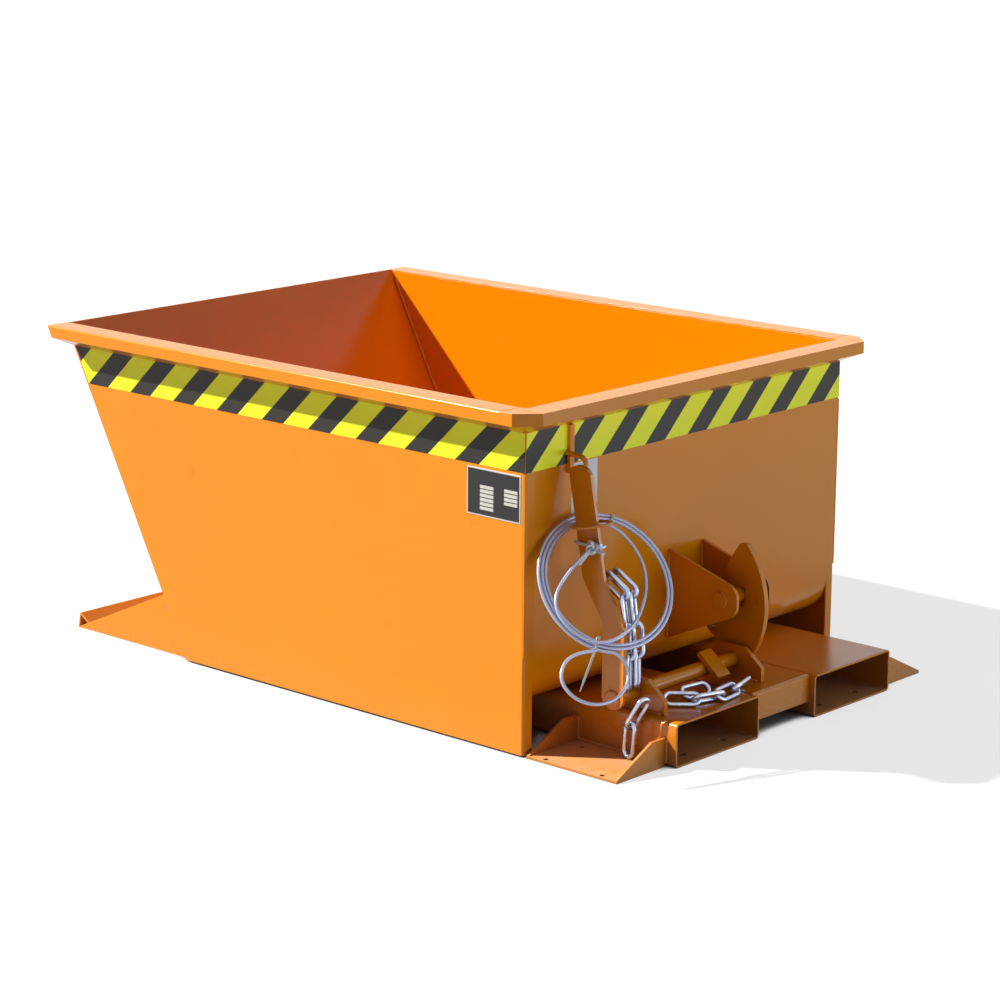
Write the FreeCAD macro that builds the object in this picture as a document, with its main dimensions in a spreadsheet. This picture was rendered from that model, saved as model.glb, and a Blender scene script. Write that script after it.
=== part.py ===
import FreeCAD, Part
import Sketcher
import math
import os
import re

# A fork-lift tipping skip: a sheet-steel bin hinged at the front of a base with two fork pockets, and held
# shut at the rear by a hook on a sprung cross shaft. Millimetres, +Z up, +X to the rear, near side at -Y.
# The origin is on the ground under the middle of the whole object.

doc = FreeCAD.newDocument("tipping_skip")
sheet = doc.addObject("Spreadsheet::Sheet", "sizes")
Vector = FreeCAD.Vector

SIZES = {
    # the bin
    "bin_width": 1000,
    "bin_height": 682,
    "bin_foot_length": 947,
    "bin_top_length": 1312,
    "sheet_steel": 4,
    "skirt_gap": 4,
    "flange_width": 25,
    "lip_setback": 3,
    "floor_bend": 78,
    "front_bend": 24,
    "rest_gap": 0.5,
    "rim_width": 51,
    "rim_face": 25,
    "rim_drop": 22,
    "rim_steel": 3,
    "rim_chamfer": 41,
    "rim_lead": 30,
    # the tipping hinge
    "hinge_height": 100,
    "hinge_standoff": 30,
    "hinge_pin_dia": 20,
    "hinge_head_dia": 34,
    "hinge_head_thick": 6,
    "lug_thick": 8,
    "lug_eye": 22,
    "lug_root": 18,
    # the base
    "pocket_overhang": 254,
    "pocket_width": 259,
    "pocket_height": 88,
    "pocket_wall": 4,
    "pocket_round": 9,
    "pocket_share": 0.35,
    "drain_dia": 16,
    "drain_inset": 38,
    "channel_front": 20,
    "channel_rear": 240,
    "channel_low": 31,
    "channel_steel": 4,
    "front_tube_setback": 18,
    "front_tube_depth": 60,
    "front_tube_height": 84,
    "toe_reach": 374,
    "toe_steel": 8,
    "toe_inset": 20,
    "toe_eye": 27,
    "toe_bar_height": 37,
    "toe_bar_depth": 38,
    "castor_length": 224,
    "castor_start": 6,
    "castor_steel": 6,
    "castor_wall": 57,
    "castor_outset": 4,
    "castor_hole_dia": 11,
    "castor_hole_long": 140,
    "castor_hole_cross": 105,
    "bearing_thick": 10,
    "bearing_length": 146,
    "bearing_height": 64,
    "bearing_bevel": 36,
    "near_bearing_inset": 26,
    "far_bearing_at": -20,
    # the latch
    "shaft_dia": 30,
    "shaft_rear": 130,
    "shaft_height": 122,
    "shaft_outset": 46,
    "shaft_far": 10,
    "hook_thick": 12,
    "ear_thick": 8,
    "ear_gap": 98,
    "near_ear_at": -66,
    "ear_top": 334,
    "ear_bottom": 149,
    "ear_round": 30,
    "latch_pin_dia": 30,
    "latch_pin_rear": 132,
    "latch_pin_height": 253,
    "latch_pin_end": 8,
    "lever_thick": 8,
    "lever_width": 53,
    "lever_outset": 42,
    "lever_top": 550,
    "lever_low_knee": 268,
    "lever_high_knee": 346,
    "lever_knee_set": 51,
    "lever_top_set": 89,
    "peg_dia": 10,
    "peg_height": 579,
    "peg_end": 6,
    "ring_rod_dia": 6,
    "ring_outer_dia": 84,
    "ring_height": 446,
    "strap_outset": 31,
    "strap_width": 12,
    "strap_thick": 8,
    "strap_length": 95,
    # the chain and the rope
    "chain_wire": 9,
    "chain_pitch": 59,
    "chain_inner_width": 16,
    "chain_peg_dia": 12,
    "chain_peg_length": 52,
    "hung_near_run": 18,
    "hung_far_run": 43,
    "weld_link_along": 160,
    "weld_link_out": 28,
    "row_along": 164,
    "row_across": 84,
    "second_row_along": 166,
    "second_row_across": 136,
    "rope_dia": 7,
    "coil_radius": 124,
    "coil_spacing": 7.6,
    # fits
    "running_fit": 0.08,
    "weld_gap": 0.05,
    "side_gap": 2,
    "latch_gap": 0.8,
}

PLACES = {
    "half_width": "bin_width / 2",
    "overall_length": "pocket_overhang + bin_foot_length + toe_reach",
    "rear": "overall_length / 2 - pocket_overhang",
    "wall_top": "bin_height - rim_steel",
    "lean_run": "(bin_top_length - bin_foot_length) / (bin_height - skirt_gap)",
    "lean_length": "sqrt(1 + lean_run^2)",
    "floor_height": "pocket_height + rest_gap",
    "front_at_floor": "-bin_foot_length - lean_run * (floor_height - skirt_gap) + lip_setback",
    "front_at_rim": "-bin_top_length + lip_setback",
    "hinge_front": "-bin_foot_length - lean_run * (hinge_height - skirt_gap) + lip_setback"
                   " - hinge_standoff * lean_length",
    "tube_front": "-bin_foot_length - front_tube_setback",
    "tube_rear": "tube_front + front_tube_depth",
    "toe_tip": "-bin_foot_length - toe_reach",
    "toe_run": "hinge_front - toe_tip",
    "toe_line": "hinge_height / toe_run",
    "toe_round": "toe_eye / sqrt(toe_run^2 + hinge_height^2 - toe_eye^2)",
    "toe_slope": "(toe_line + toe_round) / (1 - toe_line * toe_round)",
    "toe_peak": "(hinge_front + lean_run * (toe_slope * toe_tip + hinge_height) + toe_eye * lean_length)"
                " / (1 + lean_run * toe_slope)",
    "pocket_outer": "bin_width * pocket_share",
    "pocket_gap": "2 * (pocket_outer - pocket_width)",
    "near_bearing_at": "near_bearing_inset - pocket_outer",
    "shaft_near": "-pocket_outer - shaft_outset",
    "lever_near": "-pocket_outer - lever_outset",
    "strap_near": "-pocket_outer - strap_outset",
    "strap_top": "bin_height - rim_face - rim_drop",
    "strap_bottom": "strap_top - strap_length",
    "shaft_radius": "shaft_dia / 2",
    "lever_half": "lever_width / 2",
    "ear_reach": "latch_pin_rear + 41",
    "ring_radius": "(ring_outer_dia - ring_rod_dia) / 2",
    "lever_lean": "(lever_top_set - lever_knee_set) / (lever_top - lever_high_knee)",
}

row = 0
for name, size in SIZES.items():
    row = row + 1
    sheet.set(f"A{row}", name)
    sheet.set(f"B{row}", str(size))
    sheet.setAlias(f"B{row}", name)
for name, formula in PLACES.items():
    row = row + 1
    sheet.set(f"A{row}", name)
    sheet.set(f"B{row}", "=" + formula)
    sheet.setAlias(f"B{row}", name)
doc.recompute()

AXES = {"XY": (0, 1), "XZ": (0, 2), "YZ": (1, 2)}
PARTS = []


def bound(formula):
    """The formula with each size looked up in the sheet."""
    def looked_up(word):
        known = word.group() in SIZES or word.group() in PLACES
        return "sizes." + word.group() if known else word.group()
    return re.sub(r"[a-z_]{3,}", looked_up, str(formula))


def value(formula):
    return float(sheet.evalExpression(str(formula)))


def bind(item, setting, formula):
    item.setExpression(setting, bound(formula))


def put(item, place):
    """Bind where a piece stands."""
    for axis, formula in zip("xyz", place):
        bind(item, f"Placement.Base.{axis}", formula)


def fix_point(sketch, edge, end, across, up):
    """Hold one end of an edge at a pair of formulas."""
    for kind, formula in (("DistanceX", across), ("DistanceY", up)):
        index = sketch.addConstraint(Sketcher.Constraint(kind, -1, 1, edge, end, value(formula)))
        bind(sketch, f"Constraints[{index}]", formula)


def draw_loop(sketch, outline, closed=True):
    """Lines between the outline's points; a third entry is the radius of an arc to the next point."""
    first = sketch.GeometryCount
    points = [Vector(value(point[0]), value(point[1]), 0) for point in outline]
    count = len(outline) if closed else len(outline) - 1
    for index in range(count):
        start = points[index]
        end = points[(index + 1) % len(points)]
        if len(outline[index]) == 3:
            radius = value(outline[index][2])
            chord = end - start
            rise = math.sqrt(max(radius ** 2 - chord.Length ** 2 / 4, 0))
            left = Vector(-chord.y, chord.x, 0).normalize()
            centre = (start + end) * 0.5 + left * rise
            circle = Part.Circle(centre, Vector(0, 0, 1), radius)
            turn_start = math.atan2(start.y - centre.y, start.x - centre.x)
            turn_end = math.atan2(end.y - centre.y, end.x - centre.x)
            if turn_end <= turn_start:
                turn_end = turn_end + 2 * math.pi
            sketch.addGeometry(Part.ArcOfCircle(circle, turn_start, turn_end))
        else:
            sketch.addGeometry(Part.LineSegment(start, end))
    for index in range(count if closed else count - 1):
        following = first + (index + 1) % count
        sketch.addConstraint(Sketcher.Constraint("Coincident", first + index, 2, following, 1))
    for index in range(count):
        fix_point(sketch, first + index, 1, outline[index][0], outline[index][1])
        if len(outline[index]) == 3:
            held = Sketcher.Constraint("Radius", first + index, value(outline[index][2]))
            number = sketch.addConstraint(held)
            bind(sketch, f"Constraints[{number}]", outline[index][2])
    if not closed:
        fix_point(sketch, first + count - 1, 2, outline[-1][0], outline[-1][1])


def draw_hole(sketch, across, up, diameter):
    circle = Part.Circle(Vector(value(across), value(up), 0), Vector(0, 0, 1), value(diameter) / 2)
    edge = sketch.addGeometry(circle)
    fix_point(sketch, edge, 3, across, up)
    number = sketch.addConstraint(Sketcher.Constraint("Diameter", edge, value(diameter)))
    bind(sketch, f"Constraints[{number}]", diameter)


def new_sketch(body, name, plane, offset):
    sketch = body.newObject("Sketcher::SketchObject", name)
    support = [item for item in body.Origin.OriginFeatures if item.Role == plane + "_Plane"][0]
    sketch.AttachmentSupport = [(support, "")]
    sketch.MapMode = "FlatFace"
    bind(sketch, "AttachmentOffset.Base.z", f"-({offset})" if plane == "XZ" else offset)
    return sketch


def add_pad(body, name, plane, loops, holes, depth, offset="0"):
    """Pad loops and holes along the plane's own axis, from the offset towards plus."""
    sketch = new_sketch(body, name + "_sketch", plane, offset)
    for outline in loops:
        draw_loop(sketch, outline)
    for hole in holes:
        draw_hole(sketch, *hole)
    doc.recompute()
    pad = body.newObject("PartDesign::Pad", name)
    pad.Profile = sketch
    pad.Reversed = plane == "XZ"
    bind(pad, "Length", depth)
    doc.recompute()
    return pad


def cut_through(body, name, plane, outline, holes=()):
    """Cut an outline and holes right through the body, both ways from the plane."""
    sketch = new_sketch(body, name + "_sketch", plane, "0")
    if outline:
        draw_loop(sketch, outline)
    for hole in holes:
        draw_hole(sketch, *hole)
    doc.recompute()
    pocket = body.newObject("PartDesign::Pocket", name)
    pocket.Profile = sketch
    pocket.Type = "ThroughAll"
    pocket.Midplane = True
    doc.recompute()
    return pocket


def round_corners(body, plane, rounds):
    """Round the upright edges of an outline; rounds holds (across, up, radius) formulas."""
    across, up = AXES[plane]
    for corner_across, corner_up, radius in rounds:
        base = body.Tip
        target = (value(corner_across), value(corner_up))
        names = []
        for index, edge in enumerate(base.Shape.Edges):
            ends = [vertex.Point for vertex in edge.Vertexes]
            near = [abs(end[across] - target[0]) + abs(end[up] - target[1]) < 0.001 for end in ends]
            if len(ends) == 2 and all(near):
                names.append(f"Edge{index + 1}")
        fillet = body.newObject("PartDesign::Fillet", body.Name + "_round")
        fillet.Base = (base, names)
        bind(fillet, "Radius", radius)
        doc.recompute()


def plate(label, plane, outline, depth, place, rounds=(), holes=(), cutouts=()):
    """A piece cut from sheet or bar: an outline with holes, given its thickness, with rounded corners."""
    body = doc.addObject("PartDesign::Body", label)
    add_pad(body, label + "_pad", plane, [outline, *cutouts], holes, depth)
    round_corners(body, plane, rounds)
    put(body, place)
    PARTS.append(body)
    return body


def round_bar(label, diameter, length, place, kept=True):
    """A round bar along Y, from its near end."""
    bar = doc.addObject("Part::Cylinder", label)
    bar.Placement = FreeCAD.Placement(Vector(0, 0, 0), FreeCAD.Rotation(Vector(1, 0, 0), -90))
    bind(bar, "Radius", f"({diameter}) / 2")
    bind(bar, "Height", length)
    put(bar, place)
    if kept:
        PARTS.append(bar)
    return bar


def free_form(label, shape):
    item = doc.addObject("Part::Feature", label)
    item.Shape = shape
    PARTS.append(item)
    return item


# The tub: front wall, floor and rear wall folded from one sheet, let in between the rear flanges
wall_thick_level = "sheet_steel * lean_length"
tub_width = "bin_width - 2 * sheet_steel"
floor_top = "floor_height + sheet_steel"
front_inner_floor = "front_at_floor - lean_run * sheet_steel + sheet_steel * lean_length"
tub = plate(
    "tub_sheet", "XZ",
    [
        ("front_at_rim", "bin_height"),
        ("front_at_floor", "floor_height"),
        ("0", "floor_height"),
        ("0", "wall_top"),
        ("-sheet_steel", "wall_top"),
        ("-sheet_steel", floor_top),
        (front_inner_floor, floor_top),
        (f"front_at_rim + {wall_thick_level}", "bin_height"),
    ],
    tub_width, ("rear", "sheet_steel - half_width", "0"),
    rounds=[
        ("0", "floor_height", "floor_bend + sheet_steel"),
        ("-sheet_steel", floor_top, "floor_bend"),
        ("front_at_floor", "floor_height", "front_bend + sheet_steel"),
        (front_inner_floor, floor_top, "front_bend"),
    ])
for side_name, start, end in (("near", "-1", "flange_width - sheet_steel"),
                              ("far", f"{tub_width} - flange_width + sheet_steel", f"{tub_width} + 1")):
    relief = new_sketch(tub, f"tub_relief_{side_name}_sketch", "YZ", "-sheet_steel - 2.5")
    draw_loop(relief, [(start, "0"), (end, "0"), (end, "bin_height"), (start, "bin_height")])
    doc.recompute()
    notch = tub.newObject("PartDesign::Pocket", f"tub_relief_{side_name}")
    notch.Profile = relief
    notch.Reversed = True
    bind(notch, "Length", "sheet_steel * 3")
    doc.recompute()

# The side sheets: a flange folded in at the rear, and a front edge cut on the lean of the front wall
front_at_wall_top = "-bin_foot_length - lean_run * (wall_top - skirt_gap)"
for side_name, side in (("near", 1), ("far", -1)):
    edge_y = f"{-side} * half_width"
    side_sheet = plate(
        f"side_sheet_{side_name}", "XY",
        [
            (front_at_wall_top, "0"),
            ("0", "0"),
            ("0", f"{side} * flange_width"),
            ("-sheet_steel", f"{side} * flange_width"),
            ("-sheet_steel", f"{side} * sheet_steel"),
            (front_at_wall_top, f"{side} * sheet_steel"),
        ],
        "wall_top - skirt_gap", ("rear", edge_y, "skirt_gap"),
        rounds=[
            ("0", "0", "sheet_steel + 2"),
            ("-sheet_steel", f"{side} * sheet_steel", "2"),
        ])
    cut_through(
        side_sheet, f"side_lean_{side_name}", "XZ",
        [
            ("-bin_foot_length", "0"),
            (front_at_wall_top, "wall_top - skirt_gap"),
            (f"{front_at_wall_top} - 1", "wall_top - skirt_gap"),
            (f"{front_at_wall_top} - 1", "-1"),
            ("-bin_foot_length + lean_run", "-1"),
        ])


def rim_section(side):
    """The folded rim strip, out from a wall's outer face: top, upright face and sloping return."""
    inner_face = "rim_width - rim_steel"
    return_rise = "rim_steel * sqrt(1 + (rim_drop / rim_width)^2)"
    return_bottom = "bin_height - rim_face - rim_drop"
    section = [
        ("sheet_steel", "bin_height"),
        ("-rim_width", "bin_height"),
        ("-rim_width", "bin_height - rim_face"),
        ("0", return_bottom),
        ("0", f"{return_bottom} + {return_rise}"),
        (f"-({inner_face})", f"{return_bottom} + rim_drop * ({inner_face}) / rim_width + {return_rise}"),
        (f"-({inner_face})", "wall_top"),
        ("sheet_steel", "wall_top"),
    ]
    return [(f"{side} * ({out})", up) for out, up in section]


# The rims along the sides, their front ends cut on the lean of the front wall
rim_join = "rim_width - rim_chamfer - rim_lead"
rim_start = "(bin_top_length + 1)"
for side_name, side in (("near", 1), ("far", -1)):
    rim = plate(
        f"rim_{side_name}", "YZ", rim_section(side), f"{rim_start} + {rim_join}",
        (f"rear - {rim_start}", f"{-side} * half_width", "0"),
        rounds=[
            (f"{side} * (-rim_width)", "bin_height", "rim_steel + 1"),
        ])
    cut_through(
        rim, f"rim_lean_{side_name}", "XZ",
        [
            ("-2", "bin_height + 1"),
            ("1 - lean_run", "bin_height + 1"),
            ("1 + lean_run * (rim_face + rim_drop + 6)", "bin_height - rim_face - rim_drop - 6"),
            ("-2", "bin_height - rim_face - rim_drop - 6"),
        ])

# The rear rim, carried round both chamfered corners to meet the side rims
rim_path = doc.addObject("Sketcher::SketchObject", "rim_path")
draw_loop(
    rim_path,
    [
        (f"rear + {rim_join}", "-half_width - rim_width"),
        ("rear + rim_width - rim_chamfer", "-half_width - rim_width"),
        ("rear + rim_width", "-half_width - rim_width + rim_chamfer"),
        ("rear + rim_width", "half_width + rim_width - rim_chamfer"),
        ("rear + rim_width - rim_chamfer", "half_width + rim_width"),
        (f"rear + {rim_join}", "half_width + rim_width"),
    ], closed=False)
rim_shape = doc.addObject("Sketcher::SketchObject", "rim_shape")
upright_turn = FreeCAD.Rotation(Vector(0, 1, 0), Vector(0, 0, 1), Vector(1, 0, 0), "ZXY")
rim_shape.Placement = FreeCAD.Placement(Vector(0, 0, 0), upright_turn)
put(rim_shape, (f"rear + {rim_join}", "-half_width", "0"))
draw_loop(rim_shape, rim_section(1))
doc.recompute()
rim_strip = doc.addObject("Part::Sweep", "rim_strip")
rim_strip.Sections = [rim_shape]
rim_strip.Spine = (rim_path, [f"Edge{index}" for index in range(1, 6)])
rim_strip.Solid = True
rim_strip.Transition = "Right corner"
rim_inside = doc.addObject("Part::Box", "rim_inside")
bind(rim_inside, "Length", "rim_width * 2")
bind(rim_inside, "Width", "bin_width")
bind(rim_inside, "Height", "wall_top")
put(rim_inside, ("rear - rim_width * 2", "-half_width", "0"))
doc.recompute()
rim_rear = doc.addObject("Part::Cut", "rim_rear")
rim_rear.Base = rim_strip
rim_rear.Tool = rim_inside
doc.recompute()
PARTS.append(rim_rear)

# The hinge lugs under the front wall, just inside the toe plates, with the eye for the tipping pin
wall_foot_across = "hinge_front + hinge_standoff / lean_length"
wall_foot_up = "hinge_height + hinge_standoff * lean_run / lean_length"
toe_inner = "half_width - toe_inset - toe_steel"


def off_hinge(out, along):
    """A point out from the hinge towards the wall, and along the wall."""
    return (f"hinge_front + (({out}) - lean_run * ({along})) / lean_length",
            f"hinge_height + (({out}) * lean_run + ({along})) / lean_length")


lug_outline = [
    off_hinge("hinge_standoff", "-12"),
    off_hinge("hinge_standoff", "lug_root"),
    off_hinge("-lug_eye", "lug_eye"),
    off_hinge("-lug_eye", "-lug_eye"),
]
lug_places = (("near", f"-({toe_inner}) + side_gap"), ("far", f"{toe_inner} - side_gap - lug_thick"))
for side_name, low in lug_places:
    plate(
        f"hinge_lug_{side_name}", "XZ", lug_outline, "lug_thick", ("rear", low, "0"),
        rounds=[
            (*off_hinge("-lug_eye", "lug_eye"), "lug_eye * 0.8"),
            (*off_hinge("-lug_eye", "-lug_eye"), "lug_eye * 0.8"),
        ],
        holes=[("hinge_front", "hinge_height", "hinge_pin_dia + 2 * running_fit")])

# The latch ears on the rear wall and the pin across them that the hook holds
ear_outline = [
    ("0", "ear_bottom"),
    ("ear_reach", "latch_pin_height - 27"),
    ("ear_reach", "latch_pin_height + 27"),
    ("0", "ear_top"),
]
for side_name, low in (("near", "near_ear_at"), ("far", "near_ear_at + ear_thick + ear_gap")):
    plate(
        f"latch_ear_{side_name}", "XZ", ear_outline, "ear_thick", ("rear", low, "0"),
        rounds=[
            ("ear_reach", "latch_pin_height - 27", "ear_round"),
            ("ear_reach", "latch_pin_height + 27", "ear_round"),
        ],
        holes=[("latch_pin_rear", "latch_pin_height", "latch_pin_dia + 2 * weld_gap")])
round_bar("latch_pin", "latch_pin_dia", "ear_gap + 2 * ear_thick + 2 * latch_pin_end",
          ("rear + latch_pin_rear", "near_ear_at - latch_pin_end", "latch_pin_height"))

# The strap that hangs from the rear rim beside the lever's peg
strap_outline = [
    ("0", "0"),
    ("strap_width", "0"),
    ("strap_width", "strap_length"),
    ("0", "strap_length"),
]
plate("guide_strap", "YZ", strap_outline, "strap_thick", ("rear", "strap_near", "strap_bottom"),
      rounds=[("0", "0", "strap_width / 3"), ("strap_width", "0", "strap_width / 3")])

# The fork pockets: rounded rectangular tubes, open at the rear, with drain holes in the floor near the mouth
pocket_length = "pocket_overhang - tube_rear"
inner_low = "pocket_wall"
inner_wide = "pocket_width - pocket_wall"
inner_high = "pocket_height - pocket_wall"
for side_name, low in (("near", "-pocket_outer"), ("far", "pocket_gap / 2")):
    pocket_tube = plate(
        f"fork_pocket_{side_name}", "YZ",
        [("0", "0"), ("pocket_width", "0"), ("pocket_width", "pocket_height"), ("0", "pocket_height")],
        pocket_length, ("rear + tube_rear", low, "0"),
        cutouts=[[(inner_low, inner_low), (inner_wide, inner_low), (inner_wide, inner_high),
                  (inner_low, inner_high)]],
        rounds=[
            ("0", "0", "pocket_round"), ("pocket_width", "0", "pocket_round"),
            ("pocket_width", "pocket_height", "pocket_round"), ("0", "pocket_height", "pocket_round"),
            (inner_low, inner_low, "pocket_round - pocket_wall"),
            (inner_wide, inner_low, "pocket_round - pocket_wall"),
            (inner_wide, inner_high, "pocket_round - pocket_wall"),
            (inner_low, inner_high, "pocket_round - pocket_wall"),
        ])
    drains = new_sketch(pocket_tube, f"drains_{side_name}_sketch", "XY", "0")
    for across in ("pocket_width / 2 - 62", "pocket_width / 2 + 62"):
        draw_hole(drains, f"{pocket_length} - drain_inset", across, "drain_dia")
    doc.recompute()
    drilled = pocket_tube.newObject("PartDesign::Pocket", f"drains_{side_name}")
    drilled.Profile = drains
    drilled.Reversed = True
    bind(drilled, "Length", "pocket_wall + 1")
    doc.recompute()

# The rear cross channel: a folded channel, legs down, between the pockets
channel_inner_top = "pocket_height - channel_steel"
plate(
    "rear_cross_channel", "XZ",
    [
        ("channel_front", "channel_low"),
        ("channel_front + channel_steel", "channel_low"),
        ("channel_front + channel_steel", channel_inner_top),
        ("channel_rear - channel_steel", channel_inner_top),
        ("channel_rear - channel_steel", "channel_low"),
        ("channel_rear", "channel_low"),
        ("channel_rear", "pocket_height"),
        ("channel_front", "pocket_height"),
    ],
    "pocket_gap", ("rear", "-pocket_gap / 2", "0"),
    rounds=[
        ("channel_front", "pocket_height", "channel_steel * 2"),
        ("channel_rear", "pocket_height", "channel_steel * 2"),
        ("channel_front + channel_steel", channel_inner_top, "channel_steel"),
        ("channel_rear - channel_steel", channel_inner_top, "channel_steel"),
    ])

# The front cross tube that the pockets butt against and the toe plates close off
tube_inner = "front_tube_depth - pocket_wall"
tube_inner_top = "front_tube_height - pocket_wall"
plate(
    "front_cross_tube", "XZ",
    [("0", "0"), ("front_tube_depth", "0"), ("front_tube_depth", "front_tube_height"),
     ("0", "front_tube_height")],
    f"2 * ({toe_inner})", ("rear + tube_front", f"-({toe_inner})", "0"),
    cutouts=[[("pocket_wall", "pocket_wall"), (tube_inner, "pocket_wall"), (tube_inner, tube_inner_top),
              ("pocket_wall", tube_inner_top)]],
    rounds=[
        ("0", "0", "pocket_wall * 1.5"), ("front_tube_depth", "0", "pocket_wall * 1.5"),
        ("front_tube_depth", "front_tube_height", "pocket_wall * 1.5"),
        ("0", "front_tube_height", "pocket_wall * 1.5"),
    ])

# The toe plates: a long slope up from the tip, rounded over the tipping pin, and down along the front wall
toe_outline = [
    ("toe_tip", "0"),
    ("tube_rear", "0"),
    ("tube_rear", "front_tube_height"),
    ("hinge_front + toe_eye * lean_length - lean_run * (front_tube_height - hinge_height)",
     "front_tube_height"),
    ("toe_peak", "toe_slope * (toe_peak - toe_tip)"),
]
for side_name, low in (("near", "toe_inset - half_width"), ("far", toe_inner)):
    plate(
        f"toe_plate_{side_name}", "XZ", toe_outline, "toe_steel", ("rear", low, "0"),
        rounds=[(*toe_outline[-1], "toe_eye")],
        holes=[("hinge_front", "hinge_height", "hinge_pin_dia + 2 * running_fit")])

# The toe bar: a strip folded to a ridge, standing on the tips of the toe plates
ridge_across = "toe_bar_depth * 0.26"
bar_thick = "pocket_wall"
plate(
    "toe_bar", "XZ",
    [
        ("2", "toe_slope * 2"),
        (ridge_across, "toe_bar_height"),
        ("toe_bar_depth", "toe_slope * toe_bar_depth"),
        ("toe_bar_depth - 5", "toe_slope * (toe_bar_depth - 5)"),
        (f"{ridge_across} + 1", f"toe_bar_height - {bar_thick} * 1.9"),
        ("7", "toe_slope * 7"),
    ],
    "bin_width - 2 * toe_inset", ("rear + toe_tip", "toe_inset - half_width", "0"),
    rounds=[(ridge_across, "toe_bar_height", "3")])

# The hinge pins: through the lugs into the toe plates, flush outside, their heads inside
shank_length = "(toe_steel + lug_thick + 2 * side_gap)"
shank = round_bar("hinge_shank", "hinge_pin_dia", shank_length,
                  ("rear + hinge_front", "toe_inset - half_width", "hinge_height"), kept=False)
head = round_bar("hinge_head", "hinge_head_dia", "hinge_head_thick",
                 ("rear + hinge_front", f"toe_inset - half_width + {shank_length}", "hinge_height"),
                 kept=False)
near_pin = doc.addObject("Part::MultiFuse", "hinge_pin_near")
near_pin.Shapes = [shank, head]
far_pin = doc.addObject("Part::Mirroring", "hinge_pin_far")
far_pin.Source = near_pin
far_pin.Normal = Vector(0, 1, 0)
both_pins = doc.addObject("Part::Compound", "hinge_pins")
both_pins.Links = [near_pin, far_pin]
PARTS.append(both_pins)

# The castor plates: at the rear folded trays outside the pockets, at the front flat plates by the toe plates
castor_width = "half_width - castor_outset - pocket_outer"


def castor_holes(middle_along, middle_across, side):
    """Four bolt holes about the middle of a castor plate."""
    holes = []
    for along in (-1, 1):
        for across in (-1, 1):
            holes.append((f"{middle_along} + {along} * castor_hole_long / 2",
                          f"{side} * ({middle_across} + {across} * castor_hole_cross / 2)",
                          "castor_hole_dia"))
    return holes


for side_name, side in (("near", 1), ("far", -1)):
    outer_y = f"{-side} * (half_width - castor_outset)"
    tray = plate(
        f"castor_plate_rear_{side_name}", "XY",
        [("0", "0"), ("castor_length", "0"), ("castor_length", f"{side} * ({castor_width})"),
         ("0", f"{side} * ({castor_width})")],
        "castor_steel", ("rear + castor_start", outer_y, "0"),
        holes=castor_holes("castor_length / 2", f"({castor_width}) / 2 - 11", side))
    for wall_name, offset in (("front", "0"), ("rear", "castor_length - castor_steel")):
        add_pad(
            tray, f"castor_wall_{wall_name}_{side_name}", "YZ",
            [[("0", "0"), (f"{side} * ({castor_width})", "0"), (f"{side} * ({castor_width})", "castor_wall"),
              (f"{side} * ({castor_width} - 42)", "castor_wall"), ("0", "castor_steel")]],
            [], "castor_steel", offset)
    front_width = f"({toe_inner}) - pocket_outer + 20"
    plate(
        f"castor_plate_front_{side_name}", "XY",
        [("0", "0"), ("castor_length", "0"), ("castor_length", f"{side} * ({front_width})"),
         ("0", f"{side} * ({front_width})")],
        "castor_steel", ("rear + tube_front - castor_length", f"{-side} * ({toe_inner})", "0"),
        rounds=[("0", f"{side} * ({front_width})", "30")],
        holes=castor_holes("castor_length / 2", f"({front_width}) / 2", side))

# The shaft bearings: bevelled plates standing on the pocket and on the channel
bearing_half = "bearing_length / 2"
bearing_outline = [
    (f"-{bearing_half}", "0"),
    (bearing_half, "0"),
    (bearing_half, "bearing_height - bearing_bevel"),
    (f"{bearing_half} - bearing_bevel * 1.2", "bearing_height"),
    (f"bearing_bevel * 1.2 - {bearing_half}", "bearing_height"),
    (f"-{bearing_half}", "bearing_height - bearing_bevel"),
]
for side_name, low in (("near", "near_bearing_at"), ("far", "far_bearing_at")):
    plate(
        f"shaft_bearing_{side_name}", "XZ", bearing_outline, "bearing_thick",
        ("rear + shaft_rear", low, "pocket_height"),
        rounds=[
            (f"{bearing_half} - bearing_bevel * 1.2", "bearing_height", "8"),
            (f"bearing_bevel * 1.2 - {bearing_half}", "bearing_height", "8"),
        ],
        holes=[("0", "shaft_height - pocket_height", "shaft_dia + 2 * running_fit")])

# The latch shaft, with the hook at its far end, the stop bar on its back and the lever at its near end
round_bar("latch_shaft", "shaft_dia", "shaft_far - shaft_near",
          ("rear + shaft_rear", "shaft_near", "shaft_height"))

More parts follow.
